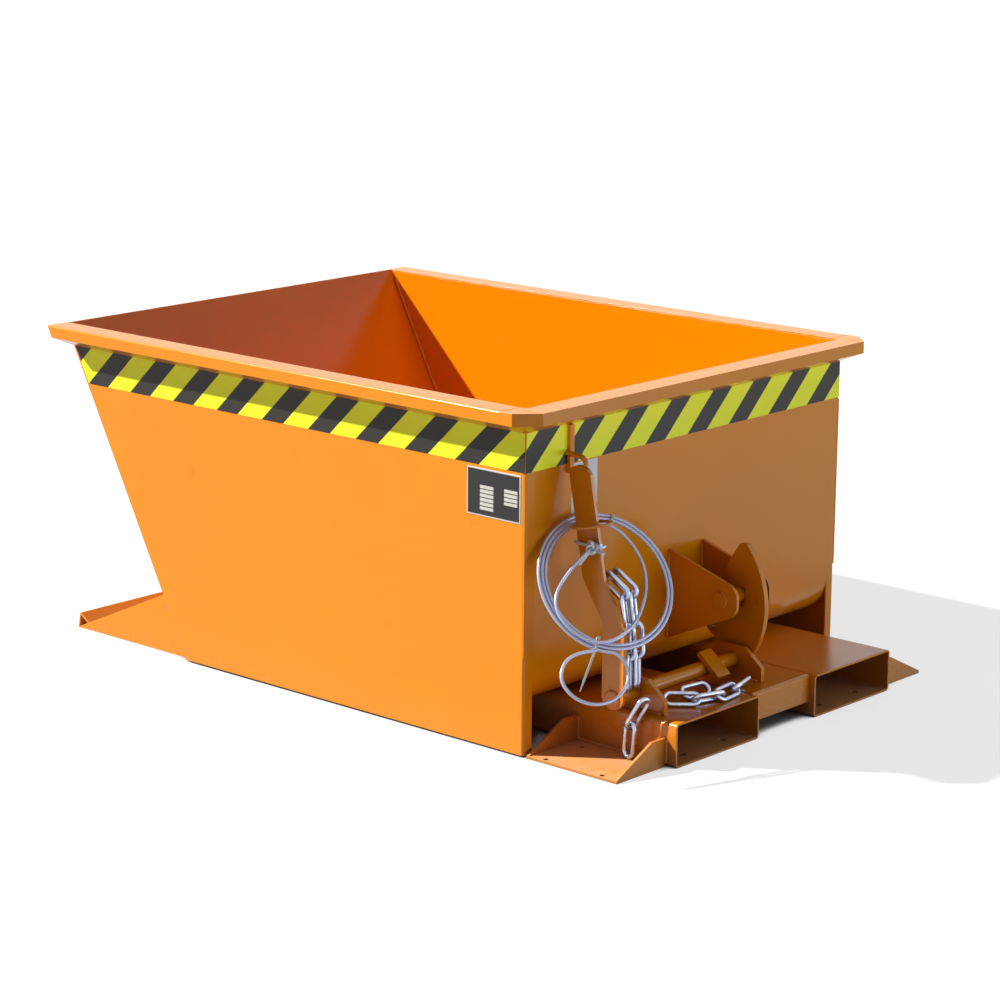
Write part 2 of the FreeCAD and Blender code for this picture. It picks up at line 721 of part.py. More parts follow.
pin_off = "latch_pin_rear - shaft_rear"
pin_up = "latch_pin_height - shaft_height"
notch_top = f"{pin_up} + latch_pin_dia / 2 + latch_gap"
notch_back = f"{pin_off} + latch_pin_dia / 2 + latch_gap"
notch_low = f"{pin_up} - latch_pin_dia / 2 - 6"
hook_foot = "shaft_radius + 16"
hook_outline = [
    ("-32", notch_top),
    (notch_back, notch_top),
    (notch_back, notch_low),
    ("-26", f"{notch_low} - 10"),
    ("-30", "70"),
    ("-72", "64"),
    ("-76", "46"),
    ("-52", "30"),
    ("-32", "20"),
    (f"-({hook_foot})", "0", f"1.02 * ({hook_foot})"),
    (hook_foot, "0"),
    ("50", "30", "190"),
    (f"{pin_off} + 17", f"{pin_up} + 104"),
    (f"{pin_off}", f"{pin_up} + 104"),
    ("-32", f"{pin_up} + 52"),
]
plate(
    "latch_hook", "XZ", hook_outline, "hook_thick", ("rear + shaft_rear", "-hook_thick / 2", "shaft_height"),
    rounds=[
        (notch_back, notch_top, "6"),
        (notch_back, notch_low, "10"),
        ("-30", "70", "8"),
        ("-72", "64", "8"),
        ("-76", "46", "8"),
        ("-32", f"{pin_up} + 52", "10"),
        (f"{pin_off}", f"{pin_up} + 104", "5"),
        (f"{pin_off} + 17", f"{pin_up} + 104", "5"),
    ],
    holes=[("0", "0", "shaft_dia + 2 * weld_gap"), ("-60", "52", "9")])

stop_slope_across = 0.766
stop_slope_up = 0.643


def off_shaft(out, along):
    """A point out from the shaft on the stop bar's slope."""
    return (f"{stop_slope_up} * ({out}) + {stop_slope_across} * ({along})",
            f"{stop_slope_across} * ({out}) - {stop_slope_up} * ({along})")


plate(
    "stop_bar", "XZ",
    [off_shaft("shaft_radius", "-25"), off_shaft("shaft_radius", "40"), off_shaft("shaft_radius + 10", "40"),
     off_shaft("shaft_radius + 10", "-25")],
    "38", ("rear + shaft_rear", "-123", "shaft_height"))

plate(
    "lever_bar", "XZ",
    [
        ("-lever_half", "0", "1.02 * lever_half"),
        ("lever_half", "0"),
        ("lever_half", "lever_low_knee - shaft_height"),
        ("lever_half - lever_knee_set", "lever_high_knee - shaft_height"),
        ("lever_half - lever_top_set", "lever_top - shaft_height", "lever_half * 1.25"),
        ("-lever_half - lever_top_set", "lever_top - shaft_height"),
        ("-lever_half - lever_knee_set", "lever_high_knee - shaft_height"),
        ("-lever_half", "lever_low_knee - shaft_height"),
    ],
    "lever_thick", ("rear + shaft_rear", "lever_near", "shaft_height"),
    rounds=[
        ("lever_half", "lever_low_knee - shaft_height", "30"),
        ("-lever_half", "lever_low_knee - shaft_height", "30"),
        ("lever_half - lever_knee_set", "lever_high_knee - shaft_height", "30"),
        ("-lever_half - lever_knee_set", "lever_high_knee - shaft_height", "30"),
    ],
    holes=[("0", "0", "shaft_dia + 2 * weld_gap")])


def round_tube(points, diameter, bend=0.45):
    """A round tube along straight runs joined by tangent arcs; also gives its length and its bend radii."""
    edges = []
    radii = []
    start = points[0]
    for before, corner, after in zip(points, points[1:], points[2:]):
        into = (corner - before).normalize()
        out = (after - corner).normalize()
        half_turn = into.getAngle(out) / 2
        reach = bend * min((corner - before).Length, (after - corner).Length)
        radius = reach / math.tan(half_turn)
        radii.append(radius)
        first = corner - into * reach
        last = corner + out * reach
        inward = (out - into).normalize()
        middle = corner + inward * (radius / math.cos(half_turn) - radius)
        edges.append(Part.LineSegment(start, first).toShape())
        edges.append(Part.Arc(first, middle, last).toShape())
        start = last
    edges.append(Part.LineSegment(start, points[-1]).toShape())
    path = Part.Wire(edges)
    heading = (points[1] - points[0]).normalize()
    section = Part.Wire([Part.Circle(points[0], heading, diameter / 2).toShape()])
    tube = path.makePipeShell([section], True, False)
    straight = math.pi * diameter ** 2 / 4 * path.Length
    return tube, path.Length, radii, tube.Volume / straight


# The peg: a bent rod welded on top of the lever, its end lying beside the strap
rear = value("rear")
shaft_rear = rear + value("shaft_rear")
lever_middle = value("lever_near + lever_thick / 2")
peg_across = shaft_rear - value("lever_top_set") + 12
peg_up = value("peg_height")
peg_dome = value("lever_top") + 12.9
peg_points = [
    Vector(peg_across, lever_middle, peg_dome),
    Vector(peg_across, lever_middle, peg_up),
    Vector(rear + value("peg_end"), lever_middle, peg_up + 3),
]
peg_shape, peg_length, peg_radii, peg_ratio = round_tube(peg_points, value("peg_dia"), 0.8)
free_form("lever_peg", peg_shape)

# The ring: a welded ring of rod hung round the lever, its inside against the lever's front edge
ring_height = value("ring_height")
lever_front = value("shaft_rear - lever_knee_set - lever_half - lever_lean * (ring_height - lever_high_knee)")
ring_tilt = -10
ring = doc.addObject("Part::Torus", "lever_ring")
bind(ring, "Radius1", "ring_radius")
bind(ring, "Radius2", "ring_rod_dia / 2")
ring_inner = value("ring_radius - ring_rod_dia / 2")
ring_across = rear + lever_front + ring_inner * math.cos(math.radians(ring_tilt)) - 0.6
ring.Placement = FreeCAD.Placement(
    Vector(ring_across, lever_middle, ring_height - ring_inner * math.sin(math.radians(ring_tilt))),
    FreeCAD.Rotation(Vector(0, 1, 0), ring_tilt))
PARTS.append(ring)

# The chain peg on the back of the lever, at its upper knee
chain_peg_place = ("rear + shaft_rear - 38", "lever_near + lever_thick", "lever_high_knee + 2")
peg_centre = Vector(*[value(formula) for formula in chain_peg_place])
round_bar("chain_peg", "chain_peg_dia", "chain_peg_length", chain_peg_place)

# The chain: long links, each a bent and welded round wire, turned a quarter from one to the next
chain_wire = value("chain_wire")
chain_pitch = value("chain_pitch")
link_bend = value("(chain_inner_width + chain_wire) / 2")
link_straight = chain_pitch + chain_wire - 2 * link_bend


def chain_link():
    """One link along X, lying flat, its middle at the origin."""
    pieces = []
    for end in (-1, 1):
        bend = Part.makeTorus(link_bend, chain_wire / 2, Vector(0, 0, 0), Vector(0, 0, 1), -180, 180, 180)
        bend.rotate(Vector(0, 0, 0), Vector(0, 0, 1), -90 if end > 0 else 90)
        bend.translate(Vector(end * link_straight / 2, 0, 0))
        pieces.append(bend)
        leg_start = Vector(-link_straight / 2, end * link_bend, 0)
        pieces.append(Part.makeCylinder(chain_wire / 2, link_straight, leg_start, Vector(1, 0, 0)))
    return pieces[0].multiFuse(pieces[1:])


def chain_way(heading, climb):
    """The direction of a link from its heading in plan and its climb, in degrees."""
    level = math.cos(math.radians(climb))
    return Vector(level * math.cos(math.radians(heading)), level * math.sin(math.radians(heading)),
                  math.sin(math.radians(climb)))


def chain_run(start, slack, steps):
    """Links from a start point; each step is a heading in plan, a climb and a roll, in degrees."""
    links = []
    joint = start
    for heading, climb, roll in steps:
        following = joint + chain_way(heading, climb) * (chain_pitch - slack)
        turn = (FreeCAD.Rotation(Vector(0, 0, 1), heading) * FreeCAD.Rotation(Vector(0, 1, 0), -climb)
                * FreeCAD.Rotation(Vector(1, 0, 0), roll))
        link = chain_link()
        link.Placement = FreeCAD.Placement((joint + following) * 0.5, turn)
        links.append(link)
        joint = following
    return links


# The hung chain: two equal runs on the peg behind the lever; each second link slides round the bend of the
# first
hung_links = []
hung_slack = 0.8
peg_climb = -30
drop_climb = -80
peg_way = chain_way(0, peg_climb)
drop_way = chain_way(0, drop_climb)
peg_reach = value("chain_peg_dia") / 2 - 0.2
link_slide = value("chain_inner_width") / 2
hung_drop = [(0, drop_climb, -25), (0, -85, 65), (0, -88, -25)]
for run_across in (value("hung_near_run"), value("hung_far_run")):
    hung_start = peg_centre + Vector(0, run_across, 0) - peg_way * peg_reach
    drop_start = hung_start + peg_way * (chain_pitch - hung_slack) + (drop_way - peg_way) * link_slide
    hung_links = hung_links + chain_run(hung_start, hung_slack, [(0, peg_climb, 90)])
    hung_links = hung_links + chain_run(drop_start, hung_slack, hung_drop)
free_form("chain_hung", Part.Compound(hung_links))

# The laid chain: two links up from the weld on the castor plate, and the free end lying on the near pocket
pocket_edge = -value("pocket_outer")
lying = value("pocket_height") + 13.6
weld_slack = 1.5
row_slack = 4
weld_start = Vector(rear + value("weld_link_along"), pocket_edge - value("weld_link_out"),
                    value("castor_steel") + 9.9)
row_start = Vector(rear + value("row_along"), pocket_edge + value("row_across"), lying)
second_row_start = Vector(rear + value("second_row_along"), pocket_edge + value("second_row_across"), lying)
laid_links = chain_run(weld_start, weld_slack, [(20, 86, 60), (20, 62, 150)])
laid_links = laid_links + chain_run(row_start, row_slack,
                                    [(40, 0, 45), (72, 0, 135), (96, 0, 45), (106, 0, 135)])
laid_links = laid_links + chain_run(second_row_start, row_slack, [(82, 0, 45)])
free_form("chain_laid", Part.Compound(laid_links))

# The rope: a sheathed wire rope knotted round the lever, coiled, and ending in a loop
rope_dia = value("rope_dia")
coil_middle = Vector(shaft_rear - 32, lever_middle + 12, value("lever_high_knee") - 3)
coil_right = Vector(0.342, 0.94, 0)
coil_up = Vector(-0.54, 0.1965, 0.8185)
coil_up = (coil_up - coil_right * coil_up.dot(coil_right)).normalize()
coil_out = coil_right.cross(coil_up)


def on_coil(right, up, out=0):
    """A point in the plane of the coil."""
    return coil_middle + coil_right * right + coil_up * up + coil_out * out


# The coil: half turns that grow by half a spacing each, so the turns lie side by side
coil_edges = []
half_turns = 5
centre_up = 0
coil_radius = value("coil_radius")
coil_spacing = value("coil_spacing")
for half in range(half_turns):
    radius = coil_radius + half * coil_spacing / 2
    top_start = half % 2 == 0
    start_angle = 90 if top_start else 270
    sweep = 180 if half < half_turns - 1 else 160
    stops = []
    for share in (0, 0.5, 1):
        angle = math.radians(start_angle + sweep * share)
        stops.append(on_coil(radius * math.cos(angle), centre_up + radius * math.sin(angle)))
    coil_edges.append(Part.Arc(*stops).toShape())
    last_radius = radius
    last_centre = centre_up
    centre_up = centre_up + (coil_spacing / 2 if top_start else -coil_spacing / 2)
coil_path = Part.Wire(coil_edges)
coil_start = on_coil(0, coil_radius)
coil_section = Part.Wire([Part.Circle(coil_start, coil_right, rope_dia / 2).toShape()])
coil_shape = coil_path.makePipeShell([coil_section], True, False)
free_form("rope_coil", coil_shape)

# The lead: from the knot on the lever down the near side, round inside the coil and up to its first turn
hitch_height = value("lever_high_knee") + 68
knot_exit = Vector(shaft_rear - 44, lever_middle - 12.2, hitch_height)
lead_points = [
    knot_exit,
    knot_exit + Vector(-2, -15.8, -5),
    on_coil(-88, 20, 11),
    on_coil(-124, -18, 11),
    on_coil(-128, -56, 11),
    on_coil(-104, -98, 11),
    on_coil(-62, -123, 12),
    on_coil(-16, -119, 14),
    on_coil(32, -90, 12),
    on_coil(70, -42, 7),
    on_coil(88, 8, 3),
    on_coil(84, 52, 2),
    on_coil(64, 92, 3),
    on_coil(38, 114, 3),
    on_coil(14, coil_radius - 0.8, 1),
    on_coil(0, coil_radius, 0),
]
lead_shape, lead_length, lead_radii, lead_ratio = round_tube(lead_points, rope_dia)
free_form("rope_lead", lead_shape)

# The end loop: leaves the outer turn near the bottom and hangs below it
end_angle = math.radians(250)
loop_start_right = last_radius * math.cos(end_angle)
loop_start_up = last_centre + last_radius * math.sin(end_angle)
loop_points = [
    on_coil(loop_start_right - 0.1 * math.sin(end_angle), loop_start_up + 0.1 * math.cos(end_angle)),
    on_coil(loop_start_right - 24 * math.sin(end_angle), loop_start_up + 24 * math.cos(end_angle)),
    on_coil(-8, -166, 1),
    on_coil(-18, -204, 2),
    on_coil(-52, -232, 3),
    on_coil(-102, -238, 4),
    on_coil(-144, -216, 5),
    on_coil(-160, -178, 6),
    on_coil(-140, -144, 8),
    on_coil(-104, -132, 9.5),
    on_coil(-70, -134, 10),
]
loop_shape, loop_length, loop_radii, loop_ratio = round_tube(loop_points, rope_dia)
free_form("rope_loop", loop_shape)

# The hitch: a turn of rope round the lever, with the knot on its near side and two cut ends
hitch_middle = rear + value(f"shaft_rear - lever_knee_set - lever_lean * ({hitch_height} - lever_high_knee)")
hitch_half = value("lever_half") + rope_dia / 2 + 2.2
hitch_deep = value("lever_thick / 2") + rope_dia / 2 + 0.6
hitch_corners = []
for across, deep in ((-1, -1), (1, -1), (1, 1), (-1, 1)):
    hitch_corners.append(Vector(hitch_middle + across * hitch_half, lever_middle + deep * hitch_deep,
                                hitch_height))
hitch_edges = []
hitch_bend = hitch_deep * 0.9
for index in range(4):
    corner = hitch_corners[index]
    into = (corner - hitch_corners[index - 1]).normalize()
    out = (hitch_corners[(index + 1) % 4] - corner).normalize()
    first = corner - into * hitch_bend
    last = corner + out * hitch_bend
    middle = corner + (out - into).normalize() * (math.sqrt(2) - 1) * hitch_bend
    following = hitch_corners[(index + 1) % 4] - out * hitch_bend
    hitch_edges.append(Part.Arc(first, middle, last).toShape())
    hitch_edges.append(Part.LineSegment(last, following).toShape())
hitch_path = Part.Wire(hitch_edges)
hitch_start = hitch_edges[0].Vertexes[0].Point
hitch_start_way = (hitch_corners[0] - hitch_corners[-1]).normalize()
hitch_section = Part.Wire([Part.Circle(hitch_start, hitch_start_way, rope_dia / 2).toShape()])
hitch_loop = hitch_path.makePipeShell([hitch_section], True, False)
knot_way = (lead_points[1] - lead_points[0]).normalize()
knot_centre = lead_points[0] + knot_way * (rope_dia / 2 + 1.2)
knot = Part.makeTorus(rope_dia + 0.4, rope_dia / 2, knot_centre, knot_way)
tails = []
for tail_from, tail_way, tail_length in ((Vector(10.6, 0, -2), Vector(0.9, -0.2, -0.35), 30),
                                         (Vector(10.6, 0, 6), Vector(0.85, -0.3, 0.2), 22)):
    tails.append(Part.makeCylinder(rope_dia / 2, tail_length, knot_centre + tail_from, tail_way))
free_form("rope_hitch", Part.Compound([hitch_loop, knot.multiFuse(tails)]))


# The cable ties: flat bands round all turns of the coil, one with a long tail
def cable_tie(angle, inner, outer, head_at, tail):
    """A band about the turns between two radii, its strap wide along the rope."""
    strap_wide = 5
    strap_thick = 1.2
    room = 0.4
    turn = math.radians(angle)
    radial = coil_right * math.cos(turn) + coil_up * math.sin(turn)
    along = coil_right * -math.sin(turn) + coil_up * math.cos(turn)
    length = outer - inner + rope_dia + 2 * room
    deep = rope_dia + 2 * room
    band = Part.makeBox(length + 2 * strap_thick, deep + 2 * strap_thick, strap_wide)
    band.translate(Vector(-strap_thick, -strap_thick, 0))
    hollow = Part.makeBox(length, deep, strap_wide)
    tie = band.cut(hollow)
    head = Part.makeBox(7, 6, strap_wide, Vector(head_at, deep + strap_thick, 0))
    tie = tie.fuse(head)
    if tail:
        strip = Part.makeBox(tail, strap_thick, strap_wide, Vector(length + strap_thick, deep, 0))
        tie = tie.fuse(strip)
    start = coil_middle + radial * (inner - rope_dia / 2 - room)
    start = start - coil_out * (deep / 2) - along * (strap_wide / 2)
    tie.Placement = FreeCAD.Placement(start, FreeCAD.Rotation(radial, coil_out, along, "XYZ"))
    return tie


ties = [cable_tie(68, coil_radius + 6.9, coil_radius + 2 * coil_spacing, 5, 0),
        cable_tie(243, coil_radius - 0.4, coil_radius + 2 * coil_spacing + 0.4, 0, 88)]
free_form("cable_ties", Part.Compound(ties))

doc.recompute()
os.makedirs("parts", exist_ok=True)
for item in doc.Objects:
    if "Invalid" in item.State or "Error" in item.State:
        raise RuntimeError(f"{item.Label}: {item.State}")
for item in PARTS:
    if item.Shape.isNull() or not item.Shape.isValid():
        raise RuntimeError(f"{item.Label}: shape is not valid")
    item.Shape.exportStep(f"parts/{item.Label}.step")

for name, length, radii, ratio in (("rope_lead", lead_length, lead_radii, lead_ratio),
                                   ("rope_loop", loop_length, loop_radii, loop_ratio)):
    least = min(radii)
    print(f"{name}: length {length:.0f}, least bend {least:.1f}, volume ratio {ratio:.4f}")
coil_ratio = coil_shape.Volume / (math.pi * rope_dia ** 2 / 4 * coil_path.Length)
print(f"rope_coil: length {coil_path.Length:.0f}, gap between turns {coil_spacing - rope_dia:.2f}, "
      f"volume ratio {coil_ratio:.4f}")
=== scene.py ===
import math
import bpy
from mathutils import Euler, Matrix, Vector


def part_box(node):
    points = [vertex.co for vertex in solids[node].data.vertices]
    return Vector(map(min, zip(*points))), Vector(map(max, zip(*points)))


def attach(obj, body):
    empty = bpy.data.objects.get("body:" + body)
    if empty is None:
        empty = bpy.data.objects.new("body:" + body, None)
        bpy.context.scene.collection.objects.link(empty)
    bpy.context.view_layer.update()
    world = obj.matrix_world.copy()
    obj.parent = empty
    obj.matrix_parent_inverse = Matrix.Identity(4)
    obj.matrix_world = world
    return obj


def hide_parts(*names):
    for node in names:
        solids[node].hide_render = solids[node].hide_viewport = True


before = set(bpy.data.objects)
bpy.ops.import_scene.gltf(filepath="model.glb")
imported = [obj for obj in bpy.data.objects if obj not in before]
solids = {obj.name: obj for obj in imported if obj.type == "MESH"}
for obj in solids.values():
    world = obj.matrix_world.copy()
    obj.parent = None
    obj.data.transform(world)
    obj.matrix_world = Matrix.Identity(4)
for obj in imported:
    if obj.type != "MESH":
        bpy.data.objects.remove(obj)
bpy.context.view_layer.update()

# The base: two fork pockets of rectangular tube, joined by a folded channel and a cross tube, with toe
# plates at the front and castor plates at the corners. It is welded from mild steel and sprayed with gloss
# enamel, which is scuffed and dusty from use; its up-facing faces low down also carry a painted sky sheen,
# and its recesses painted shade.
base_pieces = ["fork_pocket_near", "fork_pocket_far", "rear_cross_channel", "front_cross_tube",
               "castor_plate_rear_near", "castor_plate_rear_far", "castor_plate_front_near",
               "castor_plate_front_far", "shaft_bearing_near", "shaft_bearing_far", "hinge_pins"]
sides = (("near", -1), ("far", 1))


def colour(hex_code):
    """An sRGB hex value as linear red, green, blue and alpha."""
    parts = []
    for index in (1, 3, 5):
        share = int(hex_code[index:index + 2], 16) / 255
        parts.append(share / 12.92 if share <= 0.04045 else ((share + 0.055) / 1.055) ** 2.4)
    return (*parts, 1)


def add_node(material, kind, settings=None, inputs=None):
    """Adds a node; an input takes a value, or another node's output to link."""
    tree = material.node_tree
    made = tree.nodes.new(kind)
    for name, setting in (settings or {}).items():
        setattr(made, name, setting)
    for name, source in (inputs or {}).items():
        if isinstance(source, bpy.types.NodeSocket):
            tree.links.new(source, made.inputs[name])
        else:
            made.inputs[name].default_value = source
    return made


def new_material(name):
    """An empty node material with its Principled shader linked to the output."""
    material = bpy.data.materials.new(name)
    material.use_nodes = True
    material.node_tree.nodes.clear()
    shader = add_node(material, "ShaderNodeBsdfPrincipled")
    add_node(material, "ShaderNodeOutputMaterial", None, {"Surface": shader.outputs["BSDF"]})
    return material, shader


def feed(material, shader, name, output):
    """Links a node's output to one of the shader's inputs."""
    material.node_tree.links.new(output, shader.inputs[name])


def gloss_enamel(name, fresh, shaded, dust_and_sheen_amount, scuff_amount, shade_and_grime_amount, shine):
    """Sprayed gloss enamel: faint orange peel on wavy sheet, scuffs, faces low down that are dusted and
    paler with a painted sky sheen, and recesses darkened by painted shade as well as grime.
    """
    peel_size = 0.006    # real peel is about 2 mm, drawn coarser so that it shows
    wave_size = 0.26
    mottle_size = 0.35
    scuff_length = 0.11
    scuff_width = 0.004
    scuff_edge = (0.66, 0.74)
    speckle_size = 0.03
    speckle_edge = (0.3, 0.75)
    gloss_range = (0.15, 0.24)
    dust_and_sheen_height = 0.09
    dust_and_sheen_upright = 0.35    # the share of the dust and painted sheen that an upright face gets
    shade_and_grime_reach = 0.12
    shade_and_grime_edge = (0.15, 0.75)
    edge_round = 0.0015    # sheared and dressed plate edges
    material, shader = new_material(name)
    coordinates = add_node(material, "ShaderNodeTexCoord")
    place = coordinates.outputs["Object"]
    mottle = add_node(material, "ShaderNodeTexNoise", None,
                      {"Vector": place, "Scale": 1 / mottle_size, "Detail": 3.0})
    tint = add_node(material, "ShaderNodeMix", {"data_type": "RGBA"},
                    {0: mottle.outputs["Fac"], 6: colour(fresh), 7: colour(shaded)})
    stretched = add_node(material, "ShaderNodeMapping", None,
                         {"Vector": place, "Rotation": (0.3, 0.5, 0.7),
                          "Scale": (1 / scuff_length, 1 / scuff_width, 1 / scuff_length)})
    streaks = add_node(material, "ShaderNodeTexNoise", None,
                       {"Vector": stretched.outputs["Vector"], "Scale": 1.0, "Detail": 4.0,
                        "Roughness": 0.6})
    scuffs = add_node(material, "ShaderNodeMapRange", None,
                      {"Value": streaks.outputs["Fac"], "From Min": scuff_edge[0],
                       "From Max": scuff_edge[1], "To Min": 0.0, "To Max": scuff_amount})
    scuffed = add_node(material, "ShaderNodeMix", {"data_type": "RGBA"},
                       {0: scuffs.outputs["Result"], 6: tint.outputs[2], 7: colour("#7A4012")})
    # Faces low down, and most of all the up-facing ones, are paler: dust, and also a painted sky sheen.
    heights = add_node(material, "ShaderNodeSeparateXYZ", None, {"Vector": place})
    speckle = add_node(material, "ShaderNodeTexNoise", None,
                       {"Vector": place, "Scale": 1 / speckle_size, "Detail": 6.0, "Roughness": 0.7})
    low = add_node(material, "ShaderNodeMapRange", None,
                   {"Value": heights.outputs["Z"], "From Min": 0.0, "From Max": dust_and_sheen_height,
                    "To Min": dust_and_sheen_amount, "To Max": 0.0})
    facing = add_node(material, "ShaderNodeSeparateXYZ", None, {"Vector": coordinates.outputs["Normal"]})
    upward_share = add_node(material, "ShaderNodeMapRange", None,
                    {"Value": facing.outputs["Z"], "To Min": dust_and_sheen_upright, "To Max": 1.0})
    low_upward_share = add_node(material, "ShaderNodeMath", {"operation": "MULTIPLY"},
                      {0: low.outputs["Result"], 1: upward_share.outputs["Result"]})
    dust_and_sheen = add_node(material, "ShaderNodeMath", {"operation": "MULTIPLY"},
                    {0: low_upward_share.outputs["Value"], 1: speckle.outputs["Fac"]})
    dust_and_sheen_mix = add_node(material, "ShaderNodeMix", {"data_type": "RGBA"},
                     {0: dust_and_sheen.outputs["Value"], 6: scuffed.outputs[2], 7: colour("#DEB084")})
    # The recesses are darkened towards a dark brown by how shut in they are: painted shade, with some grime.
    openness = add_node(material, "ShaderNodeAmbientOcclusion", {"samples": 6}, {"Distance": shade_and_grime_reach})
    shade_and_grime_mask = add_node(material, "ShaderNodeMapRange", None,
                         {"Value": openness.outputs["AO"], "From Min": shade_and_grime_edge[0],
                          "From Max": shade_and_grime_edge[1], "To Min": shade_and_grime_amount, "To Max": 0.0})
    shade_and_grime_mix = add_node(material, "ShaderNodeMix", {"data_type": "RGBA"},
                     {0: shade_and_grime_mask.outputs["Result"], 6: dust_and_sheen_mix.outputs[2], 7: colour("#3A2412")})
    feed(material, shader, "Base Color", shade_and_grime_mix.outputs[2])
    gloss = add_node(material, "ShaderNodeMapRange", None,
                     {"Value": speckle.outputs["Fac"], "From Min": speckle_edge[0],
                      "From Max": speckle_edge[1], "To Min": gloss_range[0], "To Max": gloss_range[1]})
    dulled = add_node(material, "ShaderNodeMath", {"operation": "ADD"},
                      {0: gloss.outputs["Result"], 1: dust_and_sheen.outputs["Value"]})
    feed(material, shader, "Roughness", dulled.outputs["Value"])
    peel = add_node(material, "ShaderNodeTexNoise", None,
                    {"Vector": place, "Scale": 1 / peel_size, "Detail": 1.0})
    waves = add_node(material, "ShaderNodeTexNoise", None,
                     {"Vector": place, "Scale": 1 / wave_size, "Detail": 1.0})
    eased = add_node(material, "ShaderNodeBevel", {"samples": 4}, {"Radius": edge_round})
    wavy = add_node(material, "ShaderNodeBump", None,
                    {"Height": waves.outputs["Fac"], "Strength": 0.35, "Distance": 0.006,
                     "Normal": eased.outputs["Normal"]})
    peeled = add_node(material, "ShaderNodeBump", None,
                      {"Height": peel.outputs["Fac"], "Strength": 0.06, "Distance": 0.0006,
                       "Normal": wavy.outputs["Normal"]})
    feed(material, shader, "Normal", peeled.outputs["Normal"])
    shader.inputs["IOR"].default_value = 1.52
    shader.inputs["Specular IOR Level"].default_value = shine
    return material


base_enamel = gloss_enamel("gloss_enamel_handled", "#EE9002", "#E68601", dust_and_sheen_amount=1.1, scuff_amount=0.4,
                           shade_and_grime_amount=0.6, shine=0.42)


def finish_with(names, material):
    """Gives CAD pieces their finish."""
    for name in names:
        solids[name].data.materials.clear()
        solids[name].data.materials.append(material)


finish_with(base_pieces, base_enamel)

# The bin: a floor, rear wall and slanted front folded from one sheet of 4 mm steel, two side sheets and a
# folded rim, welded together and sprayed with the same enamel. It is cleaner than the base, as the toes are,
# with less painted shade in its recesses; the ears and the pin at the latch take the base's enamel, as worn
# as the base and darker with its painted shade.
bin_pieces = ["tub_sheet", "side_sheet_near", "side_sheet_far", "rim_near", "rim_rear", "rim_far",
              "hinge_lug_near", "hinge_lug_far", "guide_strap"]
toe_pieces = ["toe_plate_near", "toe_plate_far", "toe_bar"]
ear_pieces = ["latch_ear_near", "latch_ear_far", "latch_pin"]
bin_enamel = gloss_enamel("gloss_enamel_sheet", "#F09404", "#EC8D02", dust_and_sheen_amount=0.4, scuff_amount=0.1,
                          shade_and_grime_amount=0.08, shine=0.3)
finish_with(bin_pieces + toe_pieces, bin_enamel)
finish_with(ear_pieces, base_enamel)

# The bin's inner seams: the fillets that hold the side sheets to the folded sheet. Each bead is run by hand,
# with a ripple every few millimetres where the rod dipped, and is painted over with the pieces it joins.
ripple_pitch = 0.0045
ripple_length = ripple_pitch * 0.95
seam_size = 0.004
inner_side = 0.4945
front_top = (-0.7565, 0.664)
front_foot = (-0.4945, 0.175)
rear_inside = 0.5275
rear_seam_ends = (0.18, 0.66)
floor_level = 0.0945
floor_seam_ends = (-0.43, 0.44)


def start_piece():
    """Leaves nothing selected, so that the next operator touches only the new piece."""
    if bpy.context.object and bpy.context.object.mode != "OBJECT":
        bpy.ops.object.mode_set(mode="OBJECT")
    bpy.ops.object.select_all(action="DESELECT")


def one_ripple(name, radius):
    """A flattened ball at the origin, the ripple that one dip of the rod leaves, long along X."""
    start_piece()
    bpy.ops.mesh.primitive_uv_sphere_add(segments=8, ring_count=5, radius=1)
    ripple = bpy.context.object
    ripple.name = name
    ripple.scale = (ripple_length, radius, radius)
    bpy.ops.object.transform_apply(location=False, rotation=False, scale=True)
    return ripple


def settle(piece, place):
    """Moves the mesh into place and leaves the object at the origin."""
    piece.data.transform(place)
    piece.matrix_world = Matrix.Identity(4)
    bpy.ops.object.shade_smooth()


def weld_bead(name, start, end, radius, body, finish):
    """A straight bead from start to end."""
    start = Vector(start)
    run = Vector(end) - start
    bead = one_ripple(name, radius)
    row = bead.modifiers.new("run", "ARRAY")
    row.use_relative_offset = False
    row.use_constant_offset = True
    row.constant_offset_displace = (ripple_pitch, 0, 0)
    row.count = max(2, int(run.length / ripple_pitch))
    bpy.ops.object.modifier_apply(modifier="run")
    settle(bead, Matrix.Translation(start) @ run.to_track_quat("X", "Z").to_matrix().to_4x4())
    bead.data.materials.append(finish)
    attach(bead, body)


def weld_ring(name, centre, ring_radius, radius, body, finish):
    """A bead round a bar that lies along Y."""
    bead = one_ripple(name, radius)
    bead.data.transform(Matrix.Translation((0, 0, ring_radius)))
    bpy.ops.object.mode_set(mode="EDIT")
    bpy.ops.mesh.select_all(action="SELECT")
    count = int(2 * math.pi * ring_radius / ripple_pitch)
    bpy.ops.mesh.spin(steps=count, dupli=True, angle=2 * math.pi, center=(0, 0, 0), axis=(0, 1, 0))
    bpy.ops.object.mode_set(mode="OBJECT")
    settle(bead, Matrix.Translation(Vector(centre)))
    bead.data.materials.append(finish)
    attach(bead, body)


for side_name, side in sides:
    y = side * inner_side
    weld_bead(f"front_seam_{side_name}", (front_foot[0], y, front_foot[1]), (front_top[0], y, front_top[1]),
              seam_size, "bin", bin_enamel)
    weld_bead(f"rear_seam_{side_name}", (rear_inside, y, rear_seam_ends[0]),
              (rear_inside, y, rear_seam_ends[1]), seam_size, "bin", bin_enamel)
    weld_bead(f"floor_seam_{side_name}", (floor_seam_ends[0], y, floor_level),
              (floor_seam_ends[1], y, floor_level), seam_size, "bin", bin_enamel)

